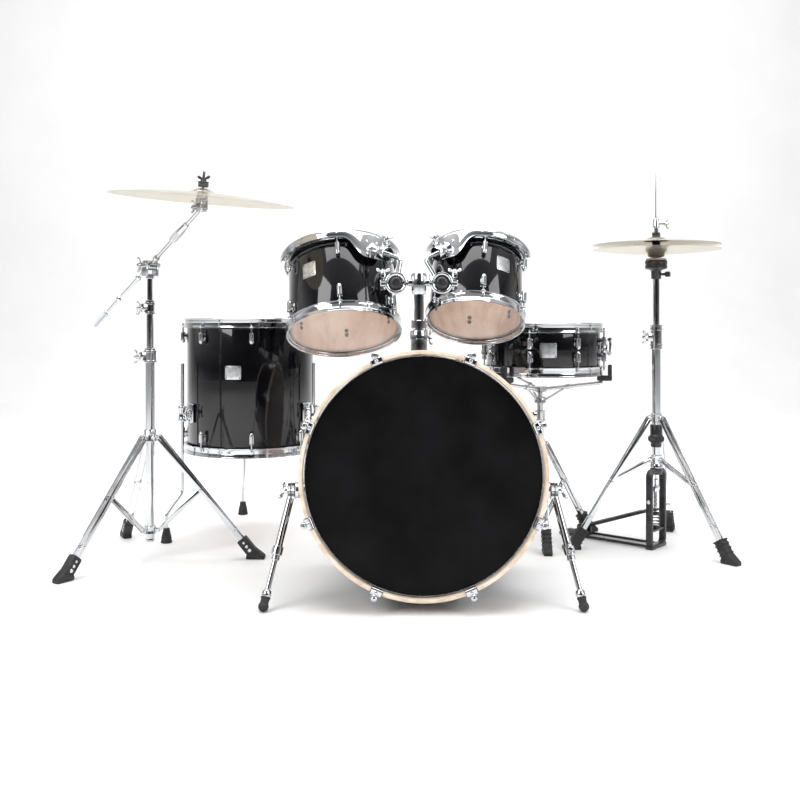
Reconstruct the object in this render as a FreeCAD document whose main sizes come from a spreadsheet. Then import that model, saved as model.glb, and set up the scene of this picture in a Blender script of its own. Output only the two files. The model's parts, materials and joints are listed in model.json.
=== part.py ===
import FreeCAD, Part
import math
import os
import re
import Sketcher
from FreeCAD import Placement, Rotation, Vector

# A five-piece acoustic drum kit: bass drum on two spurs, two toms on a holder that plugs into
# the bass drum, a floor tom on three legs, a snare drum in a basket stand, a boom cymbal stand
# and a hi-hat stand. Millimetres, +Z up, the front of the kit faces -Y.
# The layout below is written from the middle of the bass drum's front hoop; the cells middle_x
# and middle_y bring the origin to the middle of the whole kit's footprint, on the floor.

SIZES = {
    "middle_x": -41, "middle_y": 582,
    # gaps between pieces: a close fit, and the room left between separate pieces
    "gap": 0.4, "face_gap": 0.3,
    # drum shells, heads and pressed steel hoops
    "shell_wall": 6, "film": 1, "hoop_drop": 15, "hoop_rise": 14, "hoop_flange": 12.5,
    "rod_offset": 12.6, "rod_radius": 2.5, "rod_head_radius": 4.2, "ear_radius": 6.5,
    "lug_radius": 7.2, "lug_length": 24, "lug_drop": 30, "lug_count": 6, "big_lug_count": 8,
    "bass_radius": 279.4, "bass_depth": 457, "bass_tilt": 3.3,
    "bass_hoop_radius": 296, "bass_hoop_wall": 9.5, "bass_hoop_width": 38, "bass_hoop_rise": 16.5,
    "claw_offset": 26, "claw_width": 24, "claw_wall": 3.2, "claw_rod_radius": 3.4,
    "large_tom_radius": 152.4, "large_tom_depth": 218,
    "small_tom_radius": 127, "small_tom_depth": 192,
    "floor_tom_radius": 203.2, "floor_tom_depth": 398, "floor_tom_height": 280,
    "snare_radius": 177.8, "snare_depth": 133, "snare_height": 531,
    # bass drum spurs and tom holder
    "spur_out": 321, "spur_back": 110, "spur_height": 271, "spur_foot_out": 379,
    "spur_foot_back": 14, "spur_tube_radius": 9.5, "spur_rod_radius": 6.3, "spur_foot_radius": 13,
    "post_x": -8, "post_y": 187, "post_radius": 12.7, "receiver_radius": 21, "receiver_top": 664,
    "block_low": 758, "block_high": 809, "ring_reach": 58, "ring_radius": 28, "ring_width": 24,
    "ball_radius": 19.6, "arm_radius": 6.35,
    # floor tom legs
    "leg_circle": 235, "leg_radius": 5.25, "leg_top": 552, "leg_foot_out": 287,
    # snare stand
    "snare_x": 394, "snare_y": 797, "snare_stand_x": 384, "snare_stand_y": 791,
    "snare_tube_radius": 12.7, "snare_tube_top": 400, "snare_feet": 225,
    # boom cymbal stand
    "boom_x": -780, "boom_y": 545, "tube_radius": 12.7, "boom_feet": 328,
    "hub_height": 350, "boom_bracket_height": 81, "pivot_out": 24, "bar_middle": 0.45,
    "boom_tube_top": 596, "tilter_height": 847,
    "boom_rod_radius": 5.2, "crash_radius": 254, "crash_bow": 21, "cymbal_wall": 1.2,
    # hi-hat stand
    "hat_x": 719, "hat_y": 675, "hat_radius": 190, "hat_bow": 13, "hat_feet": 281,
    "hat_gap": 15, "hat_tube_top": 600, "hat_upper_radius": 9.8,
    "hat_rod_radius": 3, "hat_rod_top": 1135,
}

doc = FreeCAD.newDocument("drum_kit")
sheet = doc.addObject("Spreadsheet::Sheet", "Sizes")
for row, (word, number) in enumerate(SIZES.items(), 1):
    sheet.set(f"A{row}", word)
    sheet.set(f"B{row}", str(number))
    sheet.setAlias(f"B{row}", word)
doc.recompute()

subparts = []
X_AXIS, Y_AXIS, Z_AXIS = Vector(1, 0, 0), Vector(0, 1, 0), Vector(0, 0, 1)
NO_TURN = Rotation()


# ---- words to sizes -------------------------------------------------------------------------

def cells(text):
    """Spell out an expression so that its words are the sheet's cells."""
    return re.sub(r"[a-z][a-z_]+", lambda word: "Sizes." + word[0] if word[0] in SIZES else word[0],
                  str(text))


def size(text):
    """The value of an expression, in millimetres."""
    return float(sheet.evalExpression(cells(text)))


def bind(piece, **sizes):
    """Bind properties of a piece to expressions of the sheet's cells."""
    for name, text in sizes.items():
        piece.setExpression(name, cells(text))
    return piece


def spot(x, y, z):
    """A point of the layout, from the kit's own origin."""
    return Vector(size(x) - size("middle_x"), size(y) - size("middle_y"), size(z))


def along(start, end):
    """The rotation that lays the Z axis along the line from start to end."""
    return Rotation(Z_AXIS, end - start)


# ---- primitives and joins -------------------------------------------------------------------

def rod(name, start, end, radius):
    """A round bar between two points."""
    piece = doc.addObject("Part::Cylinder", name)
    piece.Height = (end - start).Length
    piece.Placement = Placement(start, along(start, end))
    return bind(piece, Radius=radius)


def ball(name, centre, radius):
    piece = doc.addObject("Part::Sphere", name)
    piece.Placement = Placement(centre, NO_TURN)
    return bind(piece, Radius=radius)


def block(name, centre, sizes, turn=NO_TURN):
    """A box about its middle point."""
    piece = doc.addObject("Part::Box", name)
    bind(piece, Length=sizes[0], Width=sizes[1], Height=sizes[2])
    half = Vector(*[size(value) / 2 for value in sizes])
    piece.Placement = Placement(centre - turn.multVec(half), turn)
    return piece


def bar(name, start, end, width, thickness, side):
    """A flat bar from start to end; side is the direction of its thickness."""
    run = end - start
    turn = Rotation(run, Vector(), side, "XZY")
    piece = doc.addObject("Part::Box", name)
    piece.Length = run.Length
    bind(piece, Width=width, Height=thickness)
    middle = Vector(0, size(width) / 2, size(thickness) / 2)
    piece.Placement = Placement(start - turn.multVec(middle), turn)
    return piece


def fuse(name, *pieces):
    piece = doc.addObject("Part::MultiFuse", name)
    piece.Shapes = list(pieces)
    return piece


def group(name, *pieces):
    piece = doc.addObject("Part::Compound", name)
    piece.Links = list(pieces)
    return piece


def cut(name, base, *tools):
    """The base less each tool in turn."""
    for number, tool in enumerate(tools):
        piece = doc.addObject("Part::Cut", f"{name}_{number}")
        piece.Base = base
        piece.Tool = tool
        base = piece
    return base


def common(name, first, second):
    piece = doc.addObject("Part::Common", name)
    piece.Base = first
    piece.Tool = second
    return piece


def subpart(label, piece, place=None):
    """Name a finished sub-part and put it in its place."""
    piece.Label = label
    if place:
        piece.Placement = place
    subparts.append(piece)
    return piece


def bent_rod(name, points, radius, bend):
    """A round bar along straight runs joined by arcs of one bend radius."""
    edges, here = [], points[0]
    for before, corner, after in zip(points, points[1:], points[2:]):
        back = (before - corner).normalize()
        ahead = (after - corner).normalize()
        half = back.getAngle(ahead) / 2
        setback = size(bend) / math.tan(half)
        middle = (back + ahead).normalize() * (size(bend) / math.sin(half) - size(bend))
        first, last = corner + back * setback, corner + ahead * setback
        edges.append(Part.LineSegment(here, first).toShape())
        edges.append(Part.Arc(first, corner + middle, last).toShape())
        here = last
    edges.append(Part.LineSegment(here, points[-1]).toShape())
    run = points[1] - points[0]
    ring = Part.Wire([Part.makeCircle(size(radius), points[0], run)])
    piece = doc.addObject("Part::Feature", name)
    piece.Shape = Part.Wire(edges).makePipeShell([ring], True, False)
    return piece


# ---- PartDesign bodies ----------------------------------------------------------------------

def datum(body, role):
    return [item for item in body.Origin.OriginFeatures if item.Role == role][0]


def new_body(name):
    body = doc.addObject("PartDesign::Body", name)
    body.AllowCompound = True
    return body


def outline_sketch(body, name, plane, outline):
    """A closed outline of straight runs whose corners are bound to the sheet."""
    sketch = body.newObject("Sketcher::SketchObject", name)
    sketch.AttachmentSupport = [(datum(body, plane), "")]
    sketch.MapMode = "FlatFace"
    corners = [Vector(size(x), size(y), 0) for x, y in outline]
    count = len(corners)
    sketch.addGeometry([Part.LineSegment(corners[i], corners[(i + 1) % count])
                        for i in range(count)], False)
    sketch.addConstraint([Sketcher.Constraint("Coincident", i, 2, (i + 1) % count, 1)
                          for i in range(count)])
    first = sketch.ConstraintCount
    distances = []
    for i, corner in enumerate(corners):
        distances.append(Sketcher.Constraint("DistanceX", -1, 1, i, 1, corner.x))
        distances.append(Sketcher.Constraint("DistanceY", -1, 1, i, 1, corner.y))
    sketch.addConstraint(distances)
    for i, corner in enumerate(outline):
        for j, text in enumerate(corner):
            sketch.setExpression(f"Constraints[{first + 2 * i + j}]", cells(text))
    return sketch


def turned(name, outline):
    """A Body whose outline of (radius, height) corners is turned about its Z axis."""
    body = new_body(name)
    sketch = outline_sketch(body, name + "_outline", "XZ_Plane", outline)
    turn = body.newObject("PartDesign::Revolution", name + "_turn")
    turn.Profile = sketch
    turn.ReferenceAxis = (sketch, ["V_Axis"])
    turn.Angle = 360
    return body


def feature(body, kind, name, corner, **sizes):
    """A PartDesign primitive, additive or subtractive, with its corner bound to the sheet."""
    piece = body.newObject("PartDesign::" + kind, name)
    bind(piece, **sizes)
    for letter, text in zip("xyz", corner):
        piece.setExpression("Placement.Base." + letter, cells(text))
    return piece


def repeat_round(body, name, features, count):
    """Repeat features about the body's Z axis."""
    doc.recompute()
    pattern = body.newObject("PartDesign::PolarPattern", name)
    pattern.Originals = features
    pattern.Axis = (datum(body, "Z_Axis"), [""])
    pattern.Angle = 360
    bind(pattern, Occurrences=count)
    body.Tip = pattern
    return body


# ---- drums ----------------------------------------------------------------------------------
# Each drum is built upright on its own Z axis, its shell from 0 to its depth.

def both_ends(name, piece, depth):
    """A piece at the drum's top end and its mirror image at the bottom end."""
    mirror = doc.addObject("Part::Mirroring", name + "_mirror")
    mirror.Source = piece
    mirror.Normal = Z_AXIS
    mirror.setExpression("Base.z", cells(f"{depth} / 2"))
    return group(name, piece, mirror)


def shell_body(name, radius, depth):
    """A ply shell with a bevelled bearing edge at each end."""
    inner, edge = f"{radius} - shell_wall", f"{radius} - shell_wall * 0.35"
    return turned(name, [(inner, "3"), (edge, "0"), (radius, "2"), (radius, f"{depth} - 2"),
                         (edge, depth), (inner, f"{depth} - 3")])


def head_body(name, radius, depth):
    """A film on the bearing edge, with a flesh hoop that hangs outside the shell."""
    return turned(name, [
        ("0", f"{depth} + face_gap"), (f"{radius} + 0.9", f"{depth} + face_gap"),
        (f"{radius} + 0.9", f"{depth} - 9"), (f"{radius} + 4.8", f"{depth} - 9"),
        (f"{radius} + 4.8", f"{depth} - 1"), (f"{radius} + 2", f"{depth} - 1"),
        (f"{radius} + 1.6", f"{depth} + face_gap + film"), ("0", f"{depth} + face_gap + film")])


def steel_hoop(name, radius, depth, count):
    """A pressed hoop: inner step on the flesh hoop, upright wall, rolled lip, drilled ears."""
    body = turned(name, [
        (f"{radius} + 2.6", f"{depth} - 0.7"), (f"{radius} + 5.2", f"{depth} - 0.7"),
        (f"{radius} + 5.2", f"{depth} - hoop_drop"),
        (f"{radius} + hoop_flange - 2", f"{depth} - hoop_drop"),
        (f"{radius} + hoop_flange - 2", f"{depth} - hoop_drop + 2.3"),
        (f"{radius} + 7.6", f"{depth} - hoop_drop + 2.3"),
        (f"{radius} + 7.6", f"{depth} + hoop_rise - 2.4"),
        (f"{radius} + 9.8", f"{depth} + hoop_rise - 2.4"), (f"{radius} + 9.8", f"{depth} + hoop_rise"),
        (f"{radius} + 5.2", f"{depth} + hoop_rise"), (f"{radius} + 5.2", f"{depth} + 1.7"),
        (f"{radius} + 2.6", f"{depth} + 1.7")])
    spots = (f"{radius} + rod_offset", "0", f"{depth} - hoop_drop")
    ear = feature(body, "AdditiveCylinder", name + "_ear", spots, Radius="ear_radius", Height="2.3")
    hole = feature(body, "SubtractiveCylinder", name + "_hole", spots,
                   Radius="rod_radius + gap", Height="2.3")
    return repeat_round(body, name + "_ears", [ear, hole], count)


def lug_ring(name, radius, depth, count, reach="rod_offset", drop="lug_drop"):
    """Bullet lugs round the shell: a casing with a pointed end, on a short foot."""
    body = new_body(name)
    out, low = f"{radius} + {reach}", f"{depth} - {drop} - lug_length"
    casing = feature(body, "AdditiveCylinder", name + "_casing", (out, "0", low),
                     Radius="lug_radius", Height="lug_length")
    tip = feature(body, "AdditiveCone", name + "_tip", (out, "0", f"{low} - lug_radius * 1.5"),
                  Radius1="lug_radius * 0.35", Radius2="lug_radius", Height="lug_radius * 1.5")
    foot = feature(body, "AdditiveBox", name + "_foot",
                   (f"{radius} + gap", "-lug_radius * 0.7", f"{low} + 3"),
                   Length=f"{reach}", Width="lug_radius * 1.4", Height="lug_length - 6")
    bore = feature(body, "SubtractiveCylinder", name + "_bore", (out, "0", f"{low} + 6"),
                   Radius="rod_radius + gap * 2", Height="lug_length - 6")
    return repeat_round(body, name + "_ring", [casing, tip, foot, bore], count)


def rod_ring(name, radius, depth, count):
    """Tension rods: threaded bar, washer and square-section head above the hoop's ear."""
    body = new_body(name)
    out = f"{radius} + rod_offset"
    low = f"{depth} - lug_drop - 12"
    stem = feature(body, "AdditiveCylinder", name + "_stem", (out, "0", low),
                   Radius="rod_radius", Height="lug_drop + 12 - hoop_drop + 3")
    washer = feature(body, "AdditiveCylinder", name + "_washer",
                     (out, "0", f"{depth} - hoop_drop + 2.5"), Radius="rod_head_radius", Height="2")
    key = feature(body, "AdditiveBox", name + "_key",
                  (f"{out} - rod_radius", "-rod_radius", f"{depth} - hoop_drop + 4.5"),
                  Length="rod_radius * 2", Width="rod_radius * 2", Height="9")
    return repeat_round(body, name + "_ring", [stem, washer, key], count)


def upright_drum(name, count, place):
    """Shell, heads, hoops and lugs with rods of a drum with pressed steel hoops."""
    radius, depth = name + "_radius", name + "_depth"
    subpart(name + "_shell", shell_body(name + "_ply", radius, depth), place)
    for part, piece in [("heads", head_body(name + "_film", radius, depth)),
                        ("hoops", steel_hoop(name + "_hoop", radius, depth, count))]:
        subpart(f"{name}_{part}", both_ends(f"{name}_{part}_pair", piece, depth), place)
    fittings = group(name + "_fittings", lug_ring(name + "_lug", radius, depth, count),
                     rod_ring(name + "_rod", radius, depth, count))
    subpart(name + "_lugs", both_ends(name + "_lugs_pair", fittings, depth), place)


def leaning(base, axis, phase):
    """The place of a drum whose shell starts at base, leans along axis and is turned by phase."""
    return Placement(base, Rotation(Z_AXIS, axis).multiply(Rotation(Z_AXIS, phase)))


# ---- bass drum ------------------------------------------------------------------------------

tilt = math.radians(size("bass_tilt"))
front_height = size("bass_hoop_radius") * math.cos(tilt) \
    + (size("bass_depth") + 2 * size("bass_hoop_rise")) * math.sin(tilt)
reach_back = size("bass_depth + bass_hoop_rise")
bass_place = Placement(
    spot(0, reach_back * math.cos(tilt), front_height - reach_back * math.sin(tilt)),
    Rotation(X_AXIS, 90 - size("bass_tilt")))

post_foot = spot("post_x", "post_y", 420)
post_hole = rod("bass_post_hole", post_foot, spot("post_x", "post_y", 640), "post_radius + 1.5")
bass_ply = shell_body("bass_ply", "bass_radius", "bass_depth")
bass_ply.Placement = bass_place
subpart("bass_drum_shell", cut("bass_shell_cut", bass_ply, post_hole))
subpart("bass_drum_front_head", head_body("bass_front_film", "bass_radius", "bass_depth"), bass_place)
batter = doc.addObject("Part::Mirroring", "bass_batter_mirror")
batter.Source = head_body("bass_batter_film", "bass_radius", "bass_depth")
batter.Normal = Z_AXIS
batter.setExpression("Base.z", cells("bass_depth / 2"))
subpart("bass_drum_batter_head", batter, bass_place)

wood_hoop = turned("bass_wood_hoop", [
    ("bass_hoop_radius - bass_hoop_wall", "bass_depth + bass_hoop_rise - bass_hoop_width"),
    ("bass_hoop_radius", "bass_depth + bass_hoop_rise - bass_hoop_width"),
    ("bass_hoop_radius", "bass_depth + bass_hoop_rise"),
    ("bass_hoop_radius - bass_hoop_wall", "bass_depth + bass_hoop_rise")])
subpart("bass_drum_hoops", both_ends("bass_hoops_pair", wood_hoop, "bass_depth"), bass_place)


def claw_ring(name):
    """Claw hooks over the hoop's outer edge, each with a round boss for its rod."""
    body = new_body(name)
    out, face = "bass_radius + claw_offset", "bass_depth + bass_hoop_rise + face_gap"
    inner = "bass_hoop_radius - bass_hoop_wall"
    plate = feature(body, "AdditiveBox", name + "_plate", (f"{inner} - 3", "-claw_width / 2", face),
                    Length="bass_radius + claw_offset - bass_hoop_radius + bass_hoop_wall + 3",
                    Width="claw_width", Height="claw_wall")
    lip = feature(body, "AdditiveBox", name + "_lip",
                  (f"{inner} - 3", "-claw_width / 2", f"{face} - 7"),
                  Length="2.6", Width="claw_width", Height="7")
    skirt = feature(body, "AdditiveBox", name + "_skirt",
                    ("bass_hoop_radius + face_gap", "-claw_width / 2", f"{face} - 20"),
                    Length="claw_wall", Width="claw_width", Height="20")
    boss = feature(body, "AdditiveCylinder", name + "_boss", (out, "0", f"{face} - 20"),
                   Radius="claw_rod_radius + 4.5", Height="20 + claw_wall")
    hole = feature(body, "SubtractiveCylinder", name + "_hole", (out, "0", f"{face} - 20"),
                   Radius="claw_rod_radius + gap", Height="20 + claw_wall")
    return repeat_round(body, name + "_ring", [plate, lip, skirt, boss, hole], "big_lug_count")


def claw_rod_ring(name):
    """Claw rods from the lugs to the claws, each with a round head."""
    body = new_body(name)
    out = "bass_radius + claw_offset"
    stem = feature(body, "AdditiveCylinder", name + "_stem", (out, "0", "bass_depth - 74"),
                   Radius="claw_rod_radius", Height="74 + bass_hoop_rise + claw_wall + 2")
    knob = feature(body, "AdditiveCylinder", name + "_knob",
                   (out, "0", "bass_depth + bass_hoop_rise + claw_wall + 0.6"),
                   Radius="claw_rod_radius + 3.2", Height="5")
    key = feature(body, "AdditiveBox", name + "_key",
                  (f"{out} - 3", "-3", "bass_depth + bass_hoop_rise + claw_wall + 5"),
                  Length="6", Width="6", Height="8")
    return repeat_round(body, name + "_ring", [stem, knob, key], "big_lug_count")


def bass_lug_ring(name):
    """Tall lugs that hold the claw rods clear of the wooden hoop."""
    body = new_body(name)
    out, low = "bass_radius + claw_offset", "bass_depth - 92"
    casing = feature(body, "AdditiveCylinder", name + "_casing", (out, "0", low),
                     Radius="lug_radius + 1", Height="34")
    tip = feature(body, "AdditiveCone", name + "_tip", (out, "0", f"{low} - 12"),
                  Radius1="3", Radius2="lug_radius + 1", Height="12")
    foot = feature(body, "AdditiveBox", name + "_foot", ("bass_radius + gap", "-6", f"{low} + 4"),
                   Length="claw_offset - 2", Width="12", Height="26")
    bore = feature(body, "SubtractiveCylinder", name + "_bore", (out, "0", f"{low} + 12"),
                   Radius="claw_rod_radius + gap * 2", Height="22")
    return repeat_round(body, name + "_ring", [casing, tip, foot, bore], "big_lug_count")


claw_place = bass_place.multiply(Placement(Vector(), Rotation(Z_AXIS, 22.5)))
subpart("bass_drum_lugs", both_ends("bass_lugs_pair", bass_lug_ring("bass_lug"), "bass_depth"),
        claw_place)
claws = group("bass_claw_set", claw_ring("bass_claw"), claw_rod_ring("bass_claw_rod"))
subpart("bass_drum_claws", both_ends("bass_claws_pair", claws, "bass_depth"), claw_place)


# ---- bass drum brackets and spurs -----------------------------------------------------------

def saddle(name, angle, low, high, width):
    """A curved plate on the bass drum's shell, about a line at an angle round it."""
    ring = turned(name + "_ring", [("bass_radius + gap", low), ("bass_radius + 5", low),
                                   ("bass_radius + 5", high), ("bass_radius + gap", high)])
    ring.Placement = bass_place
    middle = (size(low) + size(high)) / 2
    out = Rotation(Z_AXIS, angle).multVec(Vector(size("bass_radius"), 0, 0))
    place = bass_place.multiply(Placement(out + Vector(0, 0, middle), Rotation(Z_AXIS, angle)))
    window = block(name + "_window", place.Base, ("60", width, f"{high} - ({low})"), place.Rotation)
    return common(name, ring, window)


post_top = spot("post_x", "post_y", "receiver_top")
shell_space = doc.addObject("Part::Cylinder", "bass_shell_space")
bind(shell_space, Radius="bass_radius + gap", Height="bass_depth")
shell_space.Placement = bass_place
bracket_pieces = [
    saddle("receiver_saddle", 90, "bass_depth - 215", "bass_depth - 130", "70"),
    rod("receiver_tube", spot("post_x", "post_y", 575), post_top, "receiver_radius"),
    block("receiver_ear", spot("post_x", "post_y + 27", "receiver_top - 20"), ("26", "22", "34")),
]
for side in (-1, 1):
    word = "left" if side < 0 else "right"
    angle = 180 + 9.2 if side < 0 else -9.2
    inner = spot(side * 262, "spur_back", "spur_height")
    outer = spot(side * size("spur_out - 9.5"), "spur_back", "spur_height")
    bracket_pieces.append(saddle(word + "_spur_saddle", angle, "bass_depth - 140",
                                 "bass_depth - 52", "64"))
    bracket_pieces.append(rod(word + "_spur_boss", inner, outer, "20"))
receiver_bore = rod("receiver_bore", post_foot, spot("post_x", "post_y", 700), "post_radius + gap")
brackets = cut("bass_brackets_cut", fuse("bass_brackets_fuse", *bracket_pieces), shell_space,
               receiver_bore)
subpart("bass_drum_brackets", brackets)


def spur(word, side):
    """A folding spur: toothed head, outer tube, clamp collar, inner rod and rubber ball foot."""
    head = spot(side * size("spur_out"), "spur_back", "spur_height")
    foot = spot(side * size("spur_foot_out"), "spur_foot_back", "spur_foot_radius")
    run = (foot - head).normalize()
    length = (foot - head).Length
    sideways = Vector(side, 0, 0)
    cap = head + sideways * 10
    steel = fuse(
        word + "_spur_steel",
        rod(word + "_spur_head", head - sideways * 9, cap, "22"),
        rod(word + "_spur_nut", cap - sideways, cap + sideways * 9, "8"),
        block(word + "_spur_wing", cap + sideways * 14, ("12", "7", "44")),
        rod(word + "_spur_tube", head + run * 10, head + run * (length * 0.6), "spur_tube_radius"),
        rod(word + "_spur_collar", head + run * (length * 0.52), head + run * (length * 0.54), "14.5"),
        rod(word + "_spur_rod", head + run * (length * 0.6), foot - run * 20, "spur_rod_radius"),
        rod(word + "_spur_cup", foot - run * 38, foot - run * 24, "11"))
    rubber = fuse(word + "_spur_rubber",
                  rod(word + "_spur_plug", foot - run * 23.7, foot, "12"),
                  ball(word + "_spur_ball", foot, "spur_foot_radius"))
    clear = rod(word + "_spur_socket", foot - run * 24, foot - run * 19.7, "spur_rod_radius + 0.3")
    return group(word + "_spur_set", steel, cut(word + "_spur_foot", rubber, clear))


subpart("left_spur", spur("left", -1))
subpart("right_spur", spur("right", 1))


# ---- tom holder -----------------------------------------------------------------------------

ring_height = (size("block_low") + size("block_high")) / 2
post_pieces = [
    rod("holder_post", post_foot, spot("post_x", "post_y", "block_low + 5"), "post_radius"),
    rod("holder_collar", spot("post_x", "post_y", 668), spot("post_x", "post_y", 690),
        "receiver_radius - 1"),
    block("holder_block", spot("post_x", "post_y", ring_height),
          ("40", "38", "block_high - block_low")),
    block("holder_beam", spot("post_x", "post_y", ring_height), ("ring_reach * 2 + 74", "18", "17")),
]
ball_seats = []
for side in (-1, 1):
    word = "left" if side < 0 else "right"
    middle_x = size("post_x") + side * size("ring_reach")
    bolt_x = size("post_x") + side * (size("ring_reach") + 33)
    post_pieces += [
        rod(word + "_clamp_ring", spot(middle_x, "post_y - ring_width / 2", ring_height),
            spot(middle_x, "post_y + ring_width / 2", ring_height), "ring_radius"),
        rod(word + "_clamp_bolt", spot(bolt_x, "post_y", ring_height - 16),
            spot(bolt_x, "post_y", ring_height + 26), "4"),
        rod(word + "_clamp_nut", spot(bolt_x, "post_y", ring_height - 18),
            spot(bolt_x, "post_y", ring_height - 8), "8"),
        block(word + "_clamp_key", spot(bolt_x, "post_y", ring_height + 30), ("34", "9", "13")),
    ]
    ball_seats.append(ball(word + "_ball_seat", spot(middle_x, "post_y", ring_height),
                           "ball_radius + 0.5"))
subpart("tom_post", cut("tom_post_cut", fuse("tom_post_fuse", *post_pieces), *ball_seats))

TOMS = {
    "large_tom": dict(base=(-212, 451, 660), lean=(-0.07, 0.42, 0.905), phase=-90, side=-1,
                      elbow=(-54, 302, 852), plate_angle=-57),
    "small_tom": dict(base=(150, 390, 692), lean=(0.07, 0.45, 0.89), phase=-86, side=1,
                      elbow=(10, 300, 852), plate_angle=-126),
}


def tom_mount(name, tom, place, elbow):
    """A suspension band round the front of the top hoop, and a clamp for the arm on its plate."""
    radius, depth = name + "_radius", name + "_depth"
    inner, outer = f"{radius} + 20.5", f"{radius} + 23"
    turn = Rotation(Z_AXIS, tom["plate_angle"] - tom["phase"])
    pieces = []
    for word, low, high, spread in (("band", -14, 9, 165), ("flare", -42, -12, 62),
                                    ("plate", -72, -40, 40)):
        arc = doc.addObject("Part::Cylinder", f"{name}_{word}_arc")
        bind(arc, Radius=outer, Height=str(high - low))
        arc.Angle = spread
        start = -90 - tom["phase"] - spread / 2 if word == "band" else -spread / 2
        base_turn = Rotation(Z_AXIS, start) if word == "band" else turn.multiply(Rotation(Z_AXIS, start))
        arc.Placement = Placement(Vector(0, 0, size(depth) + low), base_turn)
        pieces.append(arc)
    core = doc.addObject("Part::Cylinder", name + "_band_core")
    bind(core, Radius=inner, Height=f"{depth} + 60")
    shroud = cut(name + "_shroud", fuse(name + "_shroud_fuse", *pieces), core)
    shroud.Placement = place
    local = turn.multVec(Vector(size(inner) + 1, 0, 0)) + Vector(0, 0, size(depth) - 45)
    anchor = place.multVec(local)
    run = (anchor - elbow).normalize()
    length = (anchor - elbow).Length
    clamp = fuse(name + "_clamp",
                 rod(name + "_clamp_ring", anchor - run * (length * 0.54),
                     anchor - run * (length * 0.54 - 24), "20"),
                 rod(name + "_clamp_stem", anchor - run * (length * 0.52), anchor, "13"),
                 block(name + "_clamp_ear", anchor - run * (length * 0.54 - 12) + Vector(0, 0, 24),
                       ("16", "16", "22"), Rotation(Z_AXIS, tom["plate_angle"])))
    arm_space = rod(name + "_arm_space", elbow, anchor - run * 7, "arm_radius + gap")
    clamp = cut(name + "_clamp_cut", clamp, arm_space)
    subpart(name + "_mount", fuse(name + "_mount_fuse", shroud, clamp))
    return anchor - run * 8


for name, tom in TOMS.items():
    place = leaning(spot(*tom["base"]), Vector(*tom["lean"]), tom["phase"])
    upright_drum(name, "lug_count", place)
    elbow = spot(*tom["elbow"])
    end = tom_mount(name, tom, place, elbow)
    middle_x = size("post_x") + tom["side"] * size("ring_reach")
    heart = spot(middle_x, "post_y", ring_height)
    arm = fuse(name + "_arm_fuse", ball(name + "_arm_ball", heart, "ball_radius"),
               bent_rod(name + "_arm_rod", [heart, spot(middle_x, "post_y + 92", ring_height), elbow,
                                            end], "arm_radius", "15"))
    front = block(name + "_ball_front", heart - Vector(0, 24, 0), ("40", "16", "40"))
    subpart(name + "_arm", cut(name + "_arm_cut", arm, front))


# ---- floor tom ------------------------------------------------------------------------------

floor_x, floor_y = -541, 901
floor_place = Placement(spot(floor_x, floor_y, "floor_tom_height"), Rotation(Z_AXIS, -81))
upright_drum("floor_tom", "big_lug_count", floor_place)
floor_legs, floor_brackets, floor_feet = [], [], []
for number, angle in enumerate((214.6, 104, 335)):
    out = Vector(math.cos(math.radians(angle)), math.sin(math.radians(angle)), 0)
    centre = spot(floor_x, floor_y, 0)

    def leg_spot(distance, height):
        return centre + out * size(distance) + Vector(0, 0, height)

    floor_legs.append(bent_rod(f"floor_leg_{number}", [
        leg_spot("leg_circle", size("leg_top")), leg_spot("leg_circle", 150),
        leg_spot("leg_foot_out", 88), leg_spot("leg_foot_out", 12)], "leg_radius", "24"))
    holder = fuse(
        f"floor_bracket_{number}",
        rod(f"floor_boss_{number}", leg_spot("leg_circle", 372), leg_spot("leg_circle", 420), "13"),
        block(f"floor_stalk_{number}", leg_spot("leg_circle - 20", 396), ("22", "26", "30"),
              Rotation(Z_AXIS, angle)),
        block(f"floor_base_{number}", leg_spot("floor_tom_radius + 6", 396), ("10", "44", "62"),
              Rotation(Z_AXIS, angle)))
    skin = doc.addObject("Part::Cylinder", f"floor_skin_{number}")
    bind(skin, Radius="floor_tom_radius + gap", Height="floor_tom_depth")
    skin.Placement = floor_place
    passage = rod(f"floor_passage_{number}", leg_spot("leg_circle", 360),
                  leg_spot("leg_circle", 430), "leg_radius + gap")
    floor_brackets.append(cut(f"floor_bracket_cut_{number}", holder, skin, passage))
    foot = turned(f"floor_foot_{number}", [("0", "0"), ("15", "0"), ("17.5", "3"), ("16", "18"),
                                           ("10.5", "38"), ("9", "45"), ("leg_radius + gap", "45"),
                                           ("leg_radius + gap", "11.6"), ("0", "11.6")])
    foot.Placement = Placement(leg_spot("leg_foot_out", 0), NO_TURN)
    floor_feet.append(foot)
subpart("floor_tom_legs", group("floor_legs_set", *floor_legs))
subpart("floor_tom_leg_brackets", group("floor_brackets_set", *floor_brackets))


# ---- snare drum and its stand ---------------------------------------------------------------

snare_place = Placement(spot("snare_x", "snare_y", "snare_height"), Rotation(Z_AXIS, -110))
upright_drum("snare", "big_lug_count", snare_place)


def on_snare(angle, distance, height):
    """A point by the snare drum, from its axis and its shell's lower edge."""
    out = Rotation(Z_AXIS, angle).multVec(Vector(size(distance), 0, 0))
    return spot("snare_x", "snare_y", "snare_height") + out + Vector(0, 0, size(height))


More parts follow.
